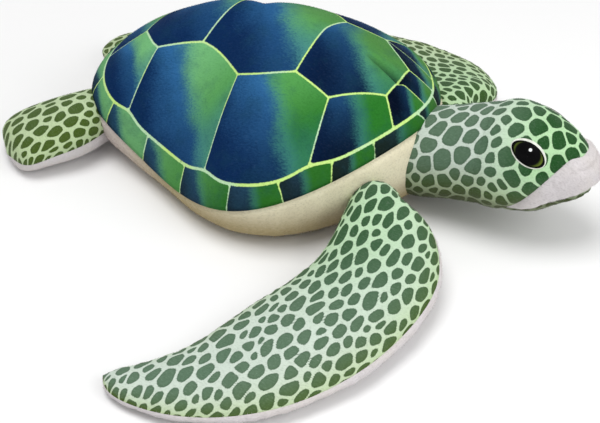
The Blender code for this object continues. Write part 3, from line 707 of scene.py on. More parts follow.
def make_materials(scene):
    shell, plush = scene.turtle_shell, scene.turtle_plush
    cut_pile = pile_group()

    def plates(n, place, fleck, nap):
        along, across = n.attribute("plate_along"), n.attribute("plate_across")
        gap = n.attribute("line_gap")
        wander = n.swing(n.noise(place, 20.0, 2.0, 0.55), 0.30)
        along = n.plus(n.plus(along, wander), n.swing(fleck, 0.16))
        ahead, aside, _ = n.add("ShaderNodeSeparateXYZ", {0: place}).outputs
        near_front = n.minus(n.times(ahead, 0.8), n.times(aside, 0.6))
        # Painted light and shade on the green: lighter towards the rear, darker towards the near front and on the
        # far side
        leaf = n.mix(n.span(near_front, 0.060, -0.020), shell.green, TONES["lit leaf"])
        leaf = n.mix(n.span(near_front, 0.072, 0.118), leaf, TONES["deep leaf"])
        leaf = n.mix(n.span(aside, -0.030, 0.030, 0.0, 0.75), leaf, TONES["far shaded leaf"])
        margin = n.attribute("margin_plate")
        along = n.plus(along, n.times(margin, n.span(ahead, 0.00, -0.05, 0.14, 0.24)))
        lower = n.times(n.span(across, 0.45, 0.06, 0.0, 0.85), n.minus(1.0, margin))
        lower = n.times(lower, n.span(near_front, 0.050, 0.080, 1.0, 0.35))
        leaf = n.mix(lower, leaf, shell.teal)
        # Painted shade: navy and blue darken towards the shell's front
        front_shading = n.times(n.span(ahead, 0.030, 0.078, 1.0, 0.42), n.span(ahead, 0.085, 0.118, 1.0, 0.20))
        navy = n.mix(front_shading, TONES["front shade"], shell.navy)
        lit = n.times(n.span(across, 0.10, 0.90, 0.35, 1.0), n.span(front_shading, 0.0, 1.0, 0.15, 1.0))
        blue = n.mix(lit, navy, shell.blue)
        low = n.mix(n.span(along, 0.16, 0.54), navy, blue)
        # Painted shade: the margin plates, which face down, are darker
        low = n.mix(n.times(margin, 0.55), low, TONES["margin shade"])
        middle = n.mix(n.span(along, 0.48, 0.66), low, n.mix(0.35, shell.teal, leaf))
        colour = n.mix(n.span(along, 0.54, 0.76), middle, leaf)
        # Painted shade: the margin plates turn a darker olive
        colour = n.mix(n.times(margin, 0.22), colour, TONES["margin shade olive"])
        worn = n.span(n.noise(place, 55.0, 3.0, 0.6), 0.45, 0.70, 0.0, 0.22)
        colour = n.mix(worn, colour, TONES["worn blue"])
        # Painted shade along the dart's crease
        crease = n.attribute("dart_shade")
        colour = n.mix(n.times(crease, 0.85), colour, TONES["dart crease shade"])
        fray = n.swing(n.noise(place, 700.0, 2.0), 0.0010)
        line = n.span(n.plus(gap, fray), -0.00045, 0.00035, 1.0, 0.0)
        paler = n.mix(n.span(n.noise(place, 22.0, 1.0), 0.42, 0.60), shell.line, TONES["worn line"])
        return n.mix(line, colour, paler), 0.025

    def spotted(n, place, fleck, nap):
        inside, face, olive = (n.attribute(key) for key in ("spot_inside", "face_tone", "olive_tone"))
        fray = n.swing(n.noise(place, 900.0, 2.0, 0.7), 0.0011)
        mask = n.span(n.plus(inside, fray), -0.00015, 0.00045)
        shade = n.attribute("spot_shade")
        net = n.mix(n.times(nap, 0.35), plush.net, TONES["net nap"])
        net = n.mix(face, n.mix(olive, net, plush.olive_net), plush.face_net)
        spot = n.mix(n.times(shade, 0.30), plush.spot, TONES["pale spot"])
        spot = n.mix(face, n.mix(olive, spot, plush.olive_spot), plush.face_spot)
        rim_dark = n.span(inside, 0.0020, 0.0002, 0.0, 0.16)
        colour = n.mix(mask, net, n.mix(rim_dark, spot, TONES["spot rim"]))
        # Painted shade: dark olive where the fabric faces down
        return n.mix(n.times(n.attribute("under_tone"), 0.70), colour, TONES["under shade olive"]), 0.08

    def cream(n, place, fleck, nap):
        ahead, _, high = n.add("ShaderNodeSeparateXYZ", {0: place}).outputs
        rear = n.span(ahead, -0.02, -0.13)
        warm = n.mix(rear, plush.cream, TONES["rear cream"])
        # Painted shade: the cream darkens towards the floor
        low = n.span(high, 0.048, 0.012, 0.0, 0.95)
        warm = n.mix(low, warm, n.mix(rear, TONES["low shade cream"], TONES["low rear shade cream"]))
        return n.mix(n.times(nap, 0.14), warm, TONES["cream nap"]), 0.16

    def white(n, place, fleck, nap):
        return n.mix(n.times(nap, 0.20), plush.white, TONES["white nap"]), 0.25

    return {
        "shell_print": plush_material("shell_print", cut_pile, plates, 0.0011, 0.32, 0.80, 0.004, 0.03, 0.40),
        "green_spots": plush_material("green_spots", cut_pile, spotted, 0.0011, 0.36),
        "cream_plush": plush_material("cream_plush", cut_pile, cream, 0.0014, 0.45),
        "white_plush": plush_material("white_plush", cut_pile, white, 0.0014, 0.50),
        "eye_white_thread": thread_material("eye_white_thread", eye_white),
        "eye_dark_thread": thread_material("eye_dark_thread", eye_dark),
    }


def eye_white(n, across):
    return n.mix(n.span(n.noise(across, 3.0, 2.0), 0.4, 0.6), TONES["thread"], TONES["thread shade"])


def eye_dark(n, across):
    """Black eye with an olive iris showing at both ends of the pupil, and one pale stitch."""

    def oval(middle, narrowing):
        return n.length(n.vector("MULTIPLY", n.vector("SUBTRACT", across, middle), narrowing))

    outer = n.length(across)
    pupil = oval((-0.04, 0.0, 0.0), (1.40, 1.02, 0.0))
    iris = n.times(n.span(pupil, 0.98, 1.08), n.span(outer, 0.93, 0.85))
    olive = n.mix(n.span(pupil, 1.02, 1.30), TONES["iris"], TONES["iris edge"])
    colour = n.mix(iris, TONES["pupil"], olive)
    glint = oval((-0.06, 0.40, 0.0), (1.0, 0.58, 0.0))
    return n.mix(n.span(glint, 0.110, 0.075), colour, TONES["glint"])


def thread_material(name, colour_of):
    material, tree, n, shader = new_material(name)
    across = n.attribute("eye_place", "Vector")
    parts = n.add("ShaderNodeSeparateXYZ", {0: across})
    angle = n.math("ARCTAN2", parts.outputs[1], parts.outputs[0])
    stitch = n.math("SINE", n.times(angle, 90.0))
    tree.links.new(colour_of(n, across), shader.inputs["Base Color"])
    tree.links.new(n.span(stitch, -1.0, 1.0, 0.42, 0.60), shader.inputs["Roughness"])
    bumped = n.add("ShaderNodeBump", {"Strength": 0.5, "Distance": 0.0003, "Height": stitch})
    tree.links.new(bumped.outputs[0], shader.inputs["Normal"])
    shader.inputs["Sheen Weight"].default_value = 0.0
    shader.inputs["Specular IOR Level"].default_value = 0.05
    return material


# Shell and belly

def angles_with(wanted, count, apart):
    """Even angles round the shell, with wanted ones in place of those close to them."""
    even = [-math.pi + 2.0 * math.pi * i / count for i in range(count)]
    return sorted(wanted | {a for a in even if min(abs(a - w) for w in wanted) > apart})


def line_samples():
    """Each printed line as places in the unit disc, with its share of the line width; the ring line has none."""
    lines = [([plate_corner(name) for name in names], width) for names, width in PLATE_LINES]
    joins = {turned(a) for a in RING_JOINS.values()} | {turned(s * a) for a, _ in MARGIN_LINES for s in (1, -1)}
    ring = [disc(float(ring_share(a)), a) for a in angles_with(joins, RING_POINTS, 0.008)]
    lines.append((ring + [ring[0]], None))
    for inner, outer in MARGIN_LINES:
        for side in (1, -1):
            a, b = turned(inner * side), turned(outer * side)
            lines.append(([disc(float(ring_share(a)), a), disc(1.0, b)], 0.7))
    return lines


def straight_pieces(ends):
    """Both ends of each straight piece of a line."""
    ends = [np.array(end) for end in ends]
    return zip(ends, ends[1:])


def segment_distance(points, a, b):
    """Distance of points in space from the straight piece between a and b."""
    d = b - a
    t = np.clip(((points - a) @ d) / max(float(d @ d), 1e-12), 0.0, 1.0)
    return np.linalg.norm(points - a - t[:, None] * d, axis=1)


def shell_sheet(settings):
    """The shell as triangles whose edges follow every printed line, so that each plate has clean borders."""
    step = settings.grid
    rows = int(0.205 / step)
    places = []
    for row in range(1, rows):
        share = (row / rows) ** 0.90
        around = max(8, int(2.0 * math.pi * HALF_LENGTH * share / step))
        places += [disc(share, 2.0 * math.pi * (i + 0.5 * (row % 2)) / around) for i in range(around)]
    places.append((0.0, 0.0))
    grid = np.array(places)
    grid = grid[np.hypot(*grid.T) < 0.992]
    lines = line_samples()
    fixed, edges, index = [], [], {}

    def point_at(place):
        key = (round(place[0], 6), round(place[1], 6))
        if key not in index:
            index[key] = len(fixed)
            fixed.append(key)
        return index[key]

    flat = []
    for ends, _ in lines:
        for a, b in straight_pieces(ends):
            pieces = max(1, int(np.linalg.norm((b - a) * HALF_LENGTH) / (step * 1.2)))
            run = [a + (b - a) * i / pieces for i in range(pieces + 1)]
            flat += run
            ids = [point_at(tuple(p)) for p in run]
            edges += [(i, j) for i, j in zip(ids, ids[1:]) if i != j]
    edge_angles = angles_with({turned(s * b) for _, b in MARGIN_LINES for s in (1, -1)}, RIM_POINTS, 0.006)
    rim_ids = [point_at(disc(1.0, a)) for a in edge_angles]
    edges += list(zip(rim_ids, rim_ids[1:] + rim_ids[:1]))
    gap, _ = nearest([(*p, 0.0) for p in grid], [(*p, 0.0) for p in flat])
    grid = grid[gap > 0.45 * step / HALF_LENGTH]
    cloud = [Vector(p) for p in fixed] + [Vector(p) for p in grid]
    verts, _, faces, *_ = geometry.delaunay_2d_cdt(cloud, edges, [], 0, 1e-7)
    plan = np.array([tuple(v) for v in verts])
    return plan, [tuple(f) for f in faces], lines, edge_angles


def plate_of_faces(plan, faces, lines):
    """Groups the shell's faces into plates: faces that share an edge belong together unless a line is on it."""
    marked = set()
    for ends, _ in lines:
        for a, b in straight_pieces(ends):
            d = b - a
            length = np.linalg.norm(d)
            t = (plan - a) @ d / (length * length)
            off = np.abs((plan[:, 0] - a[0]) * d[1] - (plan[:, 1] - a[1]) * d[0]) / length
            on = np.where((off < 1e-5) & (t > -1e-4) & (t < 1.0 + 1e-4))[0]
            run = on[np.argsort(t[on])]
            marked |= {(min(i, j), max(i, j)) for i, j in zip(run, run[1:])}
    owners = {}
    for index, face in enumerate(faces):
        for i, j in zip(face, face[1:] + face[:1]):
            owners.setdefault((min(i, j), max(i, j)), []).append(index)
    neighbours = [[] for _ in faces]
    for pair, found in owners.items():
        if len(found) == 2 and pair not in marked:
            neighbours[found[0]].append(found[1])
            neighbours[found[1]].append(found[0])
    plate = np.full(len(faces), -1)
    count = 0
    for seed in range(len(faces)):
        if plate[seed] >= 0:
            continue
        stack = [seed]
        plate[seed] = count
        while stack:
            for other in neighbours[stack.pop()]:
                if plate[other] < 0:
                    plate[other] = count
                    stack.append(other)
        count += 1
    return plate, count


def gap_to_lines(places, lines, settings):
    """How far each point of the shell is from the edge of the nearest printed line."""
    gap = np.full(len(places), FAR_FROM_LINES)
    for ends, width in lines:
        half = settings.line_width * width / 2.0 if width else settings.ring_width / 2.0
        pieces = [np.array(ends[0])]
        for a, b in straight_pieces(ends):
            parts = max(1, int(np.linalg.norm(b - a) / 0.03))
            pieces += [a + (b - a) * (i + 1) / parts for i in range(parts)]
        track = dome(np.array(pieces))
        for a, b in zip(track, track[1:]):
            close = np.where(np.abs(places - (a + b) / 2.0).max(1) < 0.02)[0]
            if len(close):
                gap[close] = np.minimum(gap[close], segment_distance(places[close], a, b) - half)
    return gap


def plate_shades(plan, places, faces, plate, count):
    """For each face corner: its share along its plate to the bright end, across it, and one on the margin."""
    corners = np.array([v for f in faces for v in f])
    owner = np.repeat(plate, 3)
    ahead = places[:, 0] * SHADE_DIRECTION.x + places[:, 1] * SHADE_DIRECTION.y
    at = ahead[corners]
    beside = (places[:, 1] * SHADE_DIRECTION.x - places[:, 0] * SHADE_DIRECTION.y)[corners]
    out = np.hypot(plan[:, 0], plan[:, 1])[corners]
    shares = np.zeros((3, len(corners)))
    for index in range(count):
        mine = owner == index
        for row, values in enumerate((at[mine], beside[mine])):
            shares[row, mine] = (values - values.min()) / max(values.max() - values.min(), 1e-6)
        shares[2, mine] = out[mine].min() > MARGIN_FROM
    return shares


def build_shell(scene, materials):
    settings, plush = scene.turtle_shell, scene.turtle_plush
    plan, faces, lines, edge_angles = shell_sheet(settings)
    places = dome(plan)
    mesh = mesh_from("shell_skin", places, faces)
    if np.mean([p.normal.z for p in mesh.polygons]) < 0.0:
        mesh.flip_normals()
        faces = [tuple(p.vertices) for p in mesh.polygons]
    gap = gap_to_lines(places, lines, settings)
    shares = plate_shades(plan, places, faces, *plate_of_faces(plan, faces, lines))
    store(mesh, "line_gap", gap)
    notch = dome(np.array([PLATE_CORNERS["front notch"]]))[0]
    dart_end = dome(np.array([DART_END]))[0]
    dart = segment_distance(places, notch, dart_end)
    run = dart_end - notch
    fade = np.clip(1.0 - ((places - notch) @ run) / float(run @ run), 0.0, 1.0) ** 0.6
    # Painted shade along the dart's crease, fading towards its inner end
    store(mesh, "dart_shade", fade * bell(dart, 0.0020))
    for name, values in zip(("plate_along", "plate_across", "margin_plate"), shares):
        store(mesh, name, values, domain="CORNER")
    # The plate lines are embossed a little, the dart and the rim seam are drawn in
    normals = normals_of(mesh)
    lip = segment_distance(places, notch + DART_LIP_PLACE, dart_end + DART_LIP_PLACE)
    rim_gap, _ = nearest(places, dome(np.array([disc(1.0, a) for a in edge_angles])))
    depth = fade * (DART_DEPTH * bell(dart, 0.0030) - DART_LIP * bell(lip, 0.0050))
    depth = depth + plush.seam_depth * SHELL_SEAM_SHARE * bell(rim_gap, plush.seam_width)
    depth = depth + LINE_EMBOSS * np.exp(-np.maximum(gap, 0.0) / 0.0022)
    set_points(mesh, places - normals * depth[:, None])
    soft_dents(mesh, 0.055, 0.0013, 1, 1.0 - bell(rim_gap, 0.012))
    mesh = take_panel(mesh, 0, plush.hem, RIM_HEIGHT)
    skin = finish_skin("shell_skin", mesh, materials["shell_print"])
    return skin, edge_angles


def build_belly(scene, materials, edge_angles):
    plush = scene.turtle_plush
    angle = np.array(edge_angles)
    places = []
    x, y, z = rim(angle)
    rear = (1.0 - np.cos(angle)) / 2.0
    flank = np.sqrt(np.abs(np.sin(angle))) * np.minimum(1.0, 1.0 + np.cos(angle))
    front = (1.0 - rear) ** 6
    # Slack folds that run down from the seam beside the front flippers
    slack = bell(np.abs(angle) - 0.98, 0.22)
    folds = np.array([noise.noise(Vector((a * 11.0, 2.0, 0.0))) for a in angle]) * slack * 0.022
    for plan, high in b_spline([(1.0, 1.0)] * 3 + list(BELLY_ROWS), 9):
        swollen = plan * (1.0 + BELLY_BULGE * flank * math.sin(math.pi * max(high, 0.0))
                          - BELLY_TUCK * rear * (1.0 - high)
                          + BELLY_COLLAR * front * min(1.0, 2.0 - 2.0 * high)
                          + folds * math.sin(math.pi * min(1.0, max(high, 0.0))) ** 0.7)
        places.append(np.stack([x * swollen, y * swollen, np.maximum(z * high, FLOOR_CLEARANCE)], 1))
    count = len(angle)
    last = (len(places) - 1) * count
    faces = band_faces(0, count, len(places) - 1)
    faces += [(last + i, last + count, last + (i + 1) % count) for i in range(count)]
    mesh = mesh_from("belly_skin", np.vstack(places + [[(0.0, 0.0, FLOOR_CLEARANCE)]]), faces)
    edge = dome(np.array([disc(1.0, a) for a in edge_angles]))
    if np.mean([p.normal.z * p.area for p in mesh.polygons]) > 0.0:
        mesh.flip_normals()
    pull_seam(mesh, edge, plush.seam_depth * BELLY_SEAM_SHARE, plush.seam_width, plush.pucker * 0.5)
    off_seam, _ = nearest(points_of(mesh), edge)
    soft_dents(mesh, 0.04, 0.0016, 2, 1.0 - bell(off_seam, 0.012))
    keep_above(mesh, FLOOR_CLEARANCE)
    mesh = take_panel(mesh, 0, plush.hem, RIM_HEIGHT)
    return finish_skin("belly_skin", mesh, materials["cream_plush"])


# Neck and head

def sleeve_form():
    turn = np.linspace(0.0, 2.0 * math.pi, AROUND, endpoint=False)
    rings = [np.stack([np.full(AROUND, along), half * np.cos(turn), height + tall * np.sin(turn)], 1)
             for along, height, half, tall in SLEEVE_RINGS]
    form = spun_form("sleeve", rings, SLEEVE_BACK, SLEEVE_NOSE, 11, lambda column: 0)
    face_outward(form)
    return form


def split_sleeve(form):
    """Cuts the sleeve along its seams and marks its panels: neck, printed head, muzzle and chin."""
    part = bmesh.new()
    part.from_mesh(form)

    def tongue(across):
        return NOSE_TONGUE[0] * math.exp(-(across / NOSE_TONGUE[1]) ** 4)

    def cut(place, normal):
        bmesh.ops.bisect_plane(part, geom=part.verts[:] + part.edges[:] + part.faces[:], plane_co=place,
                               plane_no=normal, dist=1e-5)

    muzzle = (Vector((MUZZLE_SEAM[0], 0.0, 0.0)), Vector((1.0, 0.0, -MUZZLE_SEAM[1])).normalized())
    chin = (Vector((0.0, 0.0, CHIN_SEAM[0])), Vector((-CHIN_SEAM[1], 0.0, 1.0)).normalized())
    neck = (Vector((NECK_SEAM_ALONG, 0.0, 0.0)), Vector((1.0, 0.0, 0.0)))
    cut(*neck)
    cut(*chin)
    for point in part.verts:
        point.co.x -= tongue(point.co.y)
    cut(*muzzle)
    for point in part.verts:
        point.co.x += tongue(point.co.y)
    for face in part.faces:
        middle = face.calc_center_median()
        ahead = (middle - Vector((tongue(middle.y), 0.0, 0.0)) - muzzle[0]).dot(muzzle[1]) > 0.0
        above = (middle - chin[0]).dot(chin[1]) > 0.0
        if middle.x < NECK_SEAM_ALONG:
            face.material_index = NECK
        elif ahead:
            face.material_index = MUZZLE if above else CHIN
        else:
            face.material_index = HEAD
    part.to_mesh(form)
    part.free()
    return form


def face_tone(places):
    """How strongly the face's fresh green shows, from the neck to the brow."""
    ahead = np.clip((places[:, 0] - 0.200) / 0.048, 0.0, 1.0)
    high = np.clip((places[:, 2] - 0.040) / 0.036, 0.0, 1.0)
    return ahead * high


def unrolled(places):
    """The sleeve's fabric laid flat: along it, and round it from the top."""
    middle = np.interp(places[:, 0], [r[0] for r in SLEEVE_RINGS], [r[1] for r in SLEEVE_RINGS])
    across, high = places[:, 1], places[:, 2] - middle
    radius = np.hypot(across, high)
    round_it = np.arctan2(across, high) * (0.55 * 0.040 + 0.45 * radius)
    along = places[:, 0] + np.maximum(0.0, 0.040 - radius) * np.clip((places[:, 0] - 0.24) / 0.02, 0.0, 1.0) * 0.6
    return np.stack([along + 0.8, round_it, radius], 1)


def build_head(scene, materials):
    plush = scene.turtle_plush
    form = sleeve_form()
    places = points_of(form)
    flat = unrolled(places)
    store(form, "print_place", flat, kind="FLOAT_VECTOR")
    print_spots(form, flat[:, :2], plush.spot_size, plush.net_width * HEAD_NET, 11, face_tone(places), (1.0, 0.92),
                band=HEAD_BAND, shift=-0.55, roundness=1.46)
    form = split_sleeve(form)
    for panel, depth, pucker in HEAD_SEAMS:
        pull_seam(form, panel_edge(form, panel), plush.seam_depth * depth, plush.seam_width,
                  plush.pucker * pucker)
    soft_dents(form, 0.03, 0.0011, 3)
    places, normals = points_of(form), normals_of(form)
    ahead, above = places[:, 0] - NOSE_CREASE.x, places[:, 2] - NOSE_CREASE.z
    crease = np.exp(-(ahead / 0.0045) ** 2 - (above / 0.0022) ** 2)
    set_points(form, places - normals * (0.0016 * crease)[:, None])
    made = {}
    for panel, name, material in HEAD_PANELS:
        mesh = take_panel(form, panel, plush.hem)
        places = points_of(mesh)
        if panel == MUZZLE:
            seam, _ = nearest(places, panel_edge(form, MUZZLE))
            places = places + normals_of(mesh) * (0.0026 * (1.0 - np.exp(-seam / 0.006)))[:, None]
            set_points(mesh, places)
        # Painted shade: the chin strip is kept dark
        if panel == CHIN:
            under = mesh.attributes["under_tone"]
            under.data.foreach_set("value", np.maximum(stored(mesh, "under_tone"), 0.7))
        made[name] = finish_skin(name, mesh, materials[material])
    return made, form


def eye_frame(side):
    centre, along, across = (Vector((v.x, v.y * side, v.z)) for v in EYE)
    along = along.normalized()
    across = (across - along * across.dot(along)).normalized()
    normal = along.cross(across)
    if normal.dot(Vector((0.0, side, 0.5))) < 0.0:
        normal = -normal
    turn = Matrix((along, across, normal)).transposed().to_4x4()
    return Matrix.Translation(centre) @ turn


def eye_patch(name, side, form_tree, size, lift, crown, material, corner, low=0.0):
    """An embroidered oval that lies on the head: its points drop onto the fabric and rise by the thread."""
    place = eye_frame(side)
    outward = (place.to_3x3() @ UP).normalized()
    rings, count = 14, 72
    points, local = [], []
    for ring in range(rings + 2):
        share = min(1.0, ring / rings)
        for index in range(count if ring else 1):
            angle = 2.0 * math.pi * index / count
            reach = 1.0 + corner * max(0.0, abs(math.cos(angle)) - 0.72) / 0.28
            u, v = share * math.cos(angle) * reach, share * math.sin(angle)
            start = place @ Vector((u * size[0] / 2.0, v * size[1] / 2.0 - low, 0.02))
            hit = form_tree.ray_cast(start, -outward)[0]
            rise = lift + crown * (1.0 - share ** 4) if ring <= rings else -EYE_HEM
            points.append(hit + outward * rise)
            local.append((u, v, 0.0))
    faces = [(0, 1 + index, 1 + (index + 1) % count) for index in range(count)]
    mesh = mesh_from(name, points, faces + band_faces(1, count, rings))
    if mesh.polygons[0].normal.dot(outward) < 0.0:
        mesh.flip_normals()
    store(mesh, "eye_place", local, kind="FLOAT_VECTOR")
    return finish_skin(name, mesh, material)


# Limbs

def limb_form(limb):
    """A limb's form, closed, before it is turned into place."""
    radius, reach = limb["radius"], limb["reach"]
    rows = [(Vector((forward, outward)) * reach, half * limb["width"], thick * limb["thickness"],
             high * limb["thickness"]) for forward, outward, half, thick, high in limb["stations"]]
    tip = Vector(limb["tip"][:2]) * reach
    centres = [Vector((0.0, 0.0))] + [row[0] for row in rows] + [tip]
    sections = [(Vector((0.0, -back * radius)), Vector((0.0, 1.0)), radius * math.sqrt(1.0 - back * back),
                 radius * math.sqrt(1.0 - back * back), limb["height"]) for back in (0.62, 0.0)]
    for index, row in enumerate(rows, start=1):
        sections.append((row[0], (centres[index + 1] - centres[index - 1]).normalized(), *row[1:]))
    turn = np.linspace(0.0, 2.0 * math.pi, AROUND, endpoint=False)
    rings = [np.stack([centre.x + heading.y * half * np.cos(turn), centre.y - heading.x * half * np.cos(turn),
                       high + thick * np.sin(turn)], 1) for centre, heading, half, thick, high in sections]
    low, high = limb["top"]

    def panel_of(column):
        angle = (column + 0.5) * 360.0 / AROUND
        return 0 if low < angle < high or low < angle - 360.0 else 1

    start, end = Vector((0.0, -radius, limb["height"])), Vector((*tip, limb["tip"][2] * limb["thickness"]))
    return spun_form("limb", rings, start, end, limb["steps"], panel_of)


def build_limb(name, limb, side, scene, materials):
    plush, turn = scene.turtle_plush, limb["turn"]
    form = limb_form(limb)
    face_outward(form)
    local, normals = points_of(form), normals_of(form)
    rows = local[:-2, 2].reshape(-1, AROUND)
    tops = rows.max(1)
    tops[:tops.argmax()] = tops.max()
    crest = np.append(np.repeat(tops, AROUND), (tops[0], tops[-1]))
    flat = local + normals * ((crest - local[:, 2]) * 0.9)[:, None]
    flat[:, 0] += 0.4 * side
    store(form, "print_place", flat, kind="FLOAT_VECTOR")
    column = np.append(np.tile(np.arange(AROUND) * 360.0 / AROUND, len(rows)), (90.0, 90.0))
    edge = sum(bell((column - seam + 180.0) % 360.0 - 180.0, 34.0) for seam in limb["top"])
    shoulder = limb["shoulder"] * bell(np.hypot(local[:, 0], local[:, 1] - 0.03), 0.075)
    print_spots(form, flat[:, :2], plush.spot_size * LIMB_SPOT, plush.net_width * LIMB_SPOT,
                21 + side + len(name), shoulder, limb["stretch"], olive=limb["olive"] + 0.8 * edge)
    pull_seam(form, panel_edge(form, 0), plush.seam_depth * 0.6, plush.seam_width * 0.8, plush.pucker * 0.8)
    soft_dents(form, 0.035, 0.0013, 4 + side)
    local = points_of(form)
    root = np.array(limb["root"])
    forward = local[:, 0] * math.cos(turn) - local[:, 1] * math.sin(turn)
    outward = local[:, 0] * math.sin(turn) + local[:, 1] * math.cos(turn)
    high = np.maximum(local[:, 2], FLOOR_CLEARANCE)
    set_points(form, np.stack([root[0] + forward, side * (root[1] + outward), high], 1))
    face_outward(form)
    made = []
    for panel, word, material in ((0, "top", "green_spots"), (1, "under", "white_plush")):
        mesh = take_panel(form, panel, plush.hem * 0.4)
        keep_above(mesh, FLOOR_CLEARANCE)
        made.append(finish_skin(f"{name}_{word}_skin", mesh, materials[material]))
    return made


# Pile

def pile_tree():
    """Short leaning tufts on a fabric; each is one thin blade that keeps the print under it."""
    tree = bpy.data.node_groups.new("Pile Tufts", "GeometryNodeTree")
    tree.interface.new_socket("Geometry", in_out="INPUT", socket_type="NodeSocketGeometry")
    add_inputs(tree, (("Density", "NodeSocketFloat", 300000.0), ("Length", "NodeSocketFloat", 0.0018),
                      ("Width", "NodeSocketFloat", 0.0004), ("Lean", "NodeSocketFloat", 0.9),
                      ("Seed", "NodeSocketInt", 7), ("Fabric", "NodeSocketMaterial", None)))
    tree.interface.new_socket("Geometry", in_out="OUTPUT", socket_type="NodeSocketGeometry")
    n = Nodes(tree)
    given = n.add("NodeGroupInput").outputs
    points = n.add("GeometryNodeDistributePointsOnFaces", {"Mesh": given["Geometry"],
                                                           "Density": given["Density"], "Seed": given["Seed"]})
    blade = n.add("GeometryNodeMeshCircle", {"Vertices": 3, "Radius": 0.6667}, fill_type="NGON")
    half = n.times(given["Width"], 0.75)
    size = n.add("ShaderNodeCombineXYZ", {0: given["Length"], 1: half, 2: 1.0}).outputs[0]
    sized = n.add("GeometryNodeTransform", {"Geometry": blade.outputs[0], "Scale": size})
    lifted = n.add("GeometryNodeTransform", {"Geometry": sized.outputs[0],
                                             "Rotation": (0.0, -math.pi / 2.0, 0.0)})
    turn = n.add("FunctionNodeAlignRotationToVector", {"Vector": points.outputs["Normal"]}, axis="Z")
    spin = n.add("FunctionNodeRandomValue", {"Min": (0.0, 0.0, -math.pi), "Max": (0.0, 0.0, math.pi),
                                             "Seed": given["Seed"]}, data_type="FLOAT_VECTOR")
    spun = n.add("FunctionNodeRotateRotation", {"Rotation": turn.outputs[0], "Rotate By": spin.outputs[0]},
                 rotation_space="LOCAL")
    low = n.times(given["Lean"], 0.45)
    tilt = n.add("FunctionNodeRandomValue", {2: low, 3: given["Lean"], "Seed": 3}, data_type="FLOAT")
    axis = n.add("ShaderNodeCombineXYZ", {1: tilt.outputs[1]}).outputs[0]
    leaned = n.add("FunctionNodeRotateRotation", {"Rotation": spun.outputs[0], "Rotate By": axis},
                   rotation_space="LOCAL")
    length = n.add("FunctionNodeRandomValue", {2: 0.6, 3: 1.0, "Seed": 5}, data_type="FLOAT")
    tufts = n.add("GeometryNodeInstanceOnPoints", {"Points": points.outputs[0], "Instance": lifted.outputs[0],
                                                   "Rotation": leaned.outputs[0], "Scale": length.outputs[1]})
    real = n.add("GeometryNodeRealizeInstances", {"Geometry": tufts.outputs[0]})
    dressed = n.add("GeometryNodeSetMaterial", {"Geometry": real.outputs[0], "Material": given["Fabric"]})
    out = n.add("NodeGroupOutput")
    tree.links.new(dressed.outputs[0], out.inputs[0])
    return tree


def grow_pile(skin, tree, scene, length, density):
    """Tufts of one skin as a mesh of their own."""
    pile = scene.turtle_pile
    holder = link(skin.name.replace("_skin", "_pile"), skin.data.copy())
    modifier = holder.modifiers.new("Pile", "NODES")
    names = {item.name: item.identifier for item in tree.interface.items_tree
             if item.item_type == "SOCKET" and item.in_out == "INPUT"}
    modifier.node_group = tree
    for label, value in (("Density", density), ("Length", length), ("Width", pile.width), ("Lean", PILE_LEAN),
                         ("Seed", pile.seed), ("Fabric", skin.data.materials[0])):
        modifier[names[label]] = value
    bpy.context.view_layer.update()
    mesh = bpy.data.meshes.new_from_object(holder.evaluated_get(bpy.context.evaluated_depsgraph_get()))
    holder.modifiers.clear()
    holder.data = mesh
    mesh.name = holder.name
    keep_above(mesh, PILE_CLEARANCE)
    return holder


# Operators

class BuildState:
    """What one operator leaves for the next."""
    materials = {}
    skins = {}
    head_form = None


class TURTLE_OT_materials(bpy.types.Operator):
    """Makes the printed and plain plushes and the embroidery thread"""
    bl_idname = "turtle.materials"
    bl_label = "Make Fabrics"

    def execute(self, context):
        BuildState.materials = make_materials(context.scene)
        return {"FINISHED"}


class TURTLE_OT_torso(bpy.types.Operator):
    """Sews the printed shell and the cream belly"""
    bl_idname = "turtle.torso"
    bl_label = "Sew Shell and Belly"

    def execute(self, context):
        materials = BuildState.materials
        shell, edge_angles = build_shell(context.scene, materials)
        belly = build_belly(context.scene, materials, edge_angles)
        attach(shell, "torso")
        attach(belly, "torso")
        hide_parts("shell_cover")
        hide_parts("belly_cover", "body_stuffing")
        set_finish(shell, "shell_print")
        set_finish(belly, "cream_plush")
        BuildState.skins.update(shell=shell, belly=belly)
        return {"FINISHED"}


class TURTLE_OT_head(bpy.types.Operator):
    """Sews the neck, the printed head, the muzzle and the chin"""
    bl_idname = "turtle.head"
    bl_label = "Sew Neck and Head"

    def execute(self, context):
        made, form = build_head(context.scene, BuildState.materials)
        nodes = {"neck_skin": ("neck_cover", "neck_stuffing"),
                 "head_skin": ("head_left_cover", "head_right_cover", "head_stuffing"),
                 "muzzle_skin": ("muzzle_cover",), "chin_skin": ("chin_cover",)}
        for name, skin in made.items():
            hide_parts(*nodes[name])
            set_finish(skin, "white_plush" if name == "muzzle_skin" else "green_spots")
        BuildState.skins.update(made)
        BuildState.head_form = BVHTree.FromPolygons([v.co.copy() for v in form.vertices],
                                                    [tuple(p.vertices) for p in form.polygons])
        return {"FINISHED"}


class TURTLE_OT_eyes(bpy.types.Operator):
    """Embroiders the eyes: white oval, dark eye, olive iris and pale stitch"""
    bl_idname = "turtle.eyes"
    bl_label = "Embroider Eyes"

    def execute(self, context):
        tree, materials = BuildState.head_form, BuildState.materials
        for word, side in SIDES:
            patch = eye_patch(word + "_eye_patch_thread", side, tree, EYE_PATCH_SIZE, 0.0003, 0.0003,
                              materials["eye_white_thread"], corner=0.03)
            pupil = eye_patch(word + "_pupil_thread", side, tree, PUPIL_SIZE, 0.0006, 0.0009,
                              materials["eye_dark_thread"], corner=0.06, low=0.0005)
            for piece, node, slot in ((patch, word + "_eye_patch", "eye_white_thread"),
                                      (pupil, word + "_pupil", "eye_dark_thread")):
                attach(piece, "head")
                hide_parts(node)
                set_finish(piece, slot)
        return {"FINISHED"}


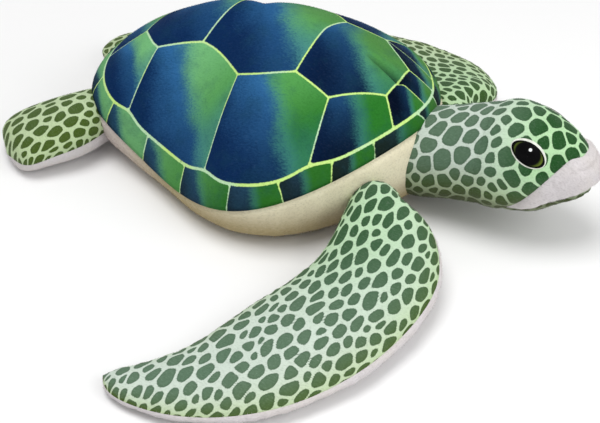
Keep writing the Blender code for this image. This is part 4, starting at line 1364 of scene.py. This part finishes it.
class TURTLE_OT_flippers(bpy.types.Operator):
    """Sews the four flippers, each with a printed top and a pale underside"""
    bl_idname = "turtle.flippers"
    bl_label = "Sew Flippers"

    def execute(self, context):
        for word, side in SIDES:
            for place in ("front", "hind"):
                name = f"{word}_{place}_flipper"
                top, under = build_limb(name, LIMBS[place, side], side, context.scene, BuildState.materials)
                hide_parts(name + "_top", name + "_stuffing")
                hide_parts(name + "_under")
                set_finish(top, "green_spots")
                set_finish(under, "white_plush")
                for skin in (top, under):
                    BuildState.skins[skin.name] = skin
        return {"FINISHED"}


def limb_bend(name):
    """Where a limb's fabric starts to turn at its root, and where it has turned."""
    side = 1 if name.startswith("left") else -1
    limb = LIMBS["front" if "front" in name else "hind", side]
    heading = math.radians(90.0) + limb["turn"]
    out = Vector((math.cos(heading), side * math.sin(heading), 0.0))
    root = Vector((limb["root"][0], side * limb["root"][1], limb["height"]))
    return root - out * limb["radius"] * 0.8, root + out * limb["radius"] * 1.1


def move_with_body(piece):
    """Attaches a torso skin or its pile to the torso; any other piece has its place baked into its mesh."""
    name = piece.name
    if name.startswith("neck"):
        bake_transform(piece)
    elif name.startswith(("head", "muzzle", "chin")):
        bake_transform(piece)
    elif "flipper" in name:
        start, end = limb_bend(name)
        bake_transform(piece)
        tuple(start)
        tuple(end)
    else:
        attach(piece, "torso")


class TURTLE_OT_pile(bpy.types.Operator):
    """Grows the pile on every skin and ties the torso's skins and pile to the frame"""
    bl_idname = "turtle.pile"
    bl_label = "Grow Pile"

    def execute(self, context):
        scene = context.scene
        pile = scene.turtle_pile
        tree = pile_tree()
        for skin in BuildState.skins.values():
            length = pile.long if skin["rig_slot"] in ("cream_plush", "white_plush") else pile.short
            tufts = grow_pile(skin, tree, scene, length, PILE_DENSITY[skin["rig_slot"]])
            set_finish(tufts, skin["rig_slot"])
            move_with_body(tufts)
            move_with_body(skin)
        bpy.data.node_groups.remove(tree)
        return {"FINISHED"}


def area_light(name, place, target, size, power):
    lamp = bpy.data.lights.new(name, "AREA")
    lamp.shape = "DISK"
    lamp.size = size
    lamp.energy = power
    holder = bpy.data.objects.new(name, lamp)
    holder.location = place
    holder.rotation_mode = "QUATERNION"
    holder.rotation_quaternion = (Vector(target) - Vector(place)).to_track_quat("-Z", "Y")
    bpy.context.scene.collection.objects.link(holder)


class TURTLE_OT_stage(bpy.types.Operator):
    """Sets the pale floor, the soft studio light and the camera"""
    bl_idname = "turtle.stage"
    bl_label = "Set Stage"

    def execute(self, context):
        scene = context.scene
        stage = scene.turtle_stage
        floor = link("floor", mesh_from("floor", FLOOR_CORNERS, [(0, 1, 2, 3)]))
        material, _, _, shader = new_material("studio_floor")
        shader.inputs["Base Color"].default_value = (*stage.floor, 1.0)
        shader.inputs["Roughness"].default_value = 0.9
        floor.data.materials.append(material)
        world = bpy.data.worlds.new("studio")
        world.use_nodes = True
        sky = world.node_tree.nodes["Background"].inputs
        sky["Color"].default_value = (1.0, 1.0, 1.0, 1.0)
        sky["Strength"].default_value = SKY_STRENGTH
        scene.world = world
        scene.view_settings.view_transform = "Standard"
        area_light("key", *KEY_LIGHT, stage.key)
        area_light("fill", *FILL_LIGHT, stage.fill)
        data = bpy.data.cameras.new("camera")
        data.lens = CAMERA_LENS
        data.sensor_width = 36.0
        data.sensor_fit = "HORIZONTAL"
        data.clip_start, data.clip_end = 0.05, 30.0
        camera = bpy.data.objects.new("camera", data)
        level = math.cos(CAMERA_ELEVATION)
        back = Vector((math.sin(CAMERA_AZIMUTH) * level, -math.cos(CAMERA_AZIMUTH) * level,
                       math.sin(CAMERA_ELEVATION)))
        camera.location = CAMERA_TARGET + back * CAMERA_DISTANCE
        camera.rotation_mode = "QUATERNION"
        camera.rotation_quaternion = (-back).to_track_quat("-Z", "Y")
        scene.collection.objects.link(camera)
        scene.camera = camera
        return {"FINISHED"}


class TURTLE_PT_panel(bpy.types.Panel):
    bl_label = "Stuffed Turtle"
    bl_idname = "TURTLE_PT_panel"
    bl_space_type = "VIEW_3D"
    bl_region_type = "UI"
    bl_category = "Turtle"

    def draw(self, context):
        for group in ("turtle_shell", "turtle_plush", "turtle_pile", "turtle_stage"):
            settings = getattr(context.scene, group)
            box = self.layout.box()
            for key in settings.__annotations__:
                box.prop(settings, key)
        for operator in OPERATORS:
            self.layout.operator(operator.bl_idname)


OPERATORS = (TURTLE_OT_materials, TURTLE_OT_torso, TURTLE_OT_head, TURTLE_OT_eyes, TURTLE_OT_flippers,
             TURTLE_OT_pile, TURTLE_OT_stage)
SETTINGS = (("turtle_shell", ShellSettings), ("turtle_plush", PlushSettings), ("turtle_pile", PileSettings),
            ("turtle_stage", StageSettings))


def register():
    for name, group in SETTINGS:
        bpy.utils.register_class(group)
        setattr(bpy.types.Scene, name, PointerProperty(type=group))
    for operator in OPERATORS:
        bpy.utils.register_class(operator)
    bpy.utils.register_class(TURTLE_PT_panel)


def unregister():
    bpy.utils.unregister_class(TURTLE_PT_panel)
    for operator in reversed(OPERATORS):
        bpy.utils.unregister_class(operator)
    for name, group in reversed(SETTINGS):
        delattr(bpy.types.Scene, name)
        bpy.utils.unregister_class(group)


def main():
    register()
    bpy.ops.turtle.materials()
    bpy.ops.turtle.torso()
    bpy.ops.turtle.head()
    bpy.ops.turtle.eyes()
    bpy.ops.turtle.flippers()
    bpy.ops.turtle.pile()
    bpy.ops.turtle.stage()


if __name__ == "__main__":
    main()
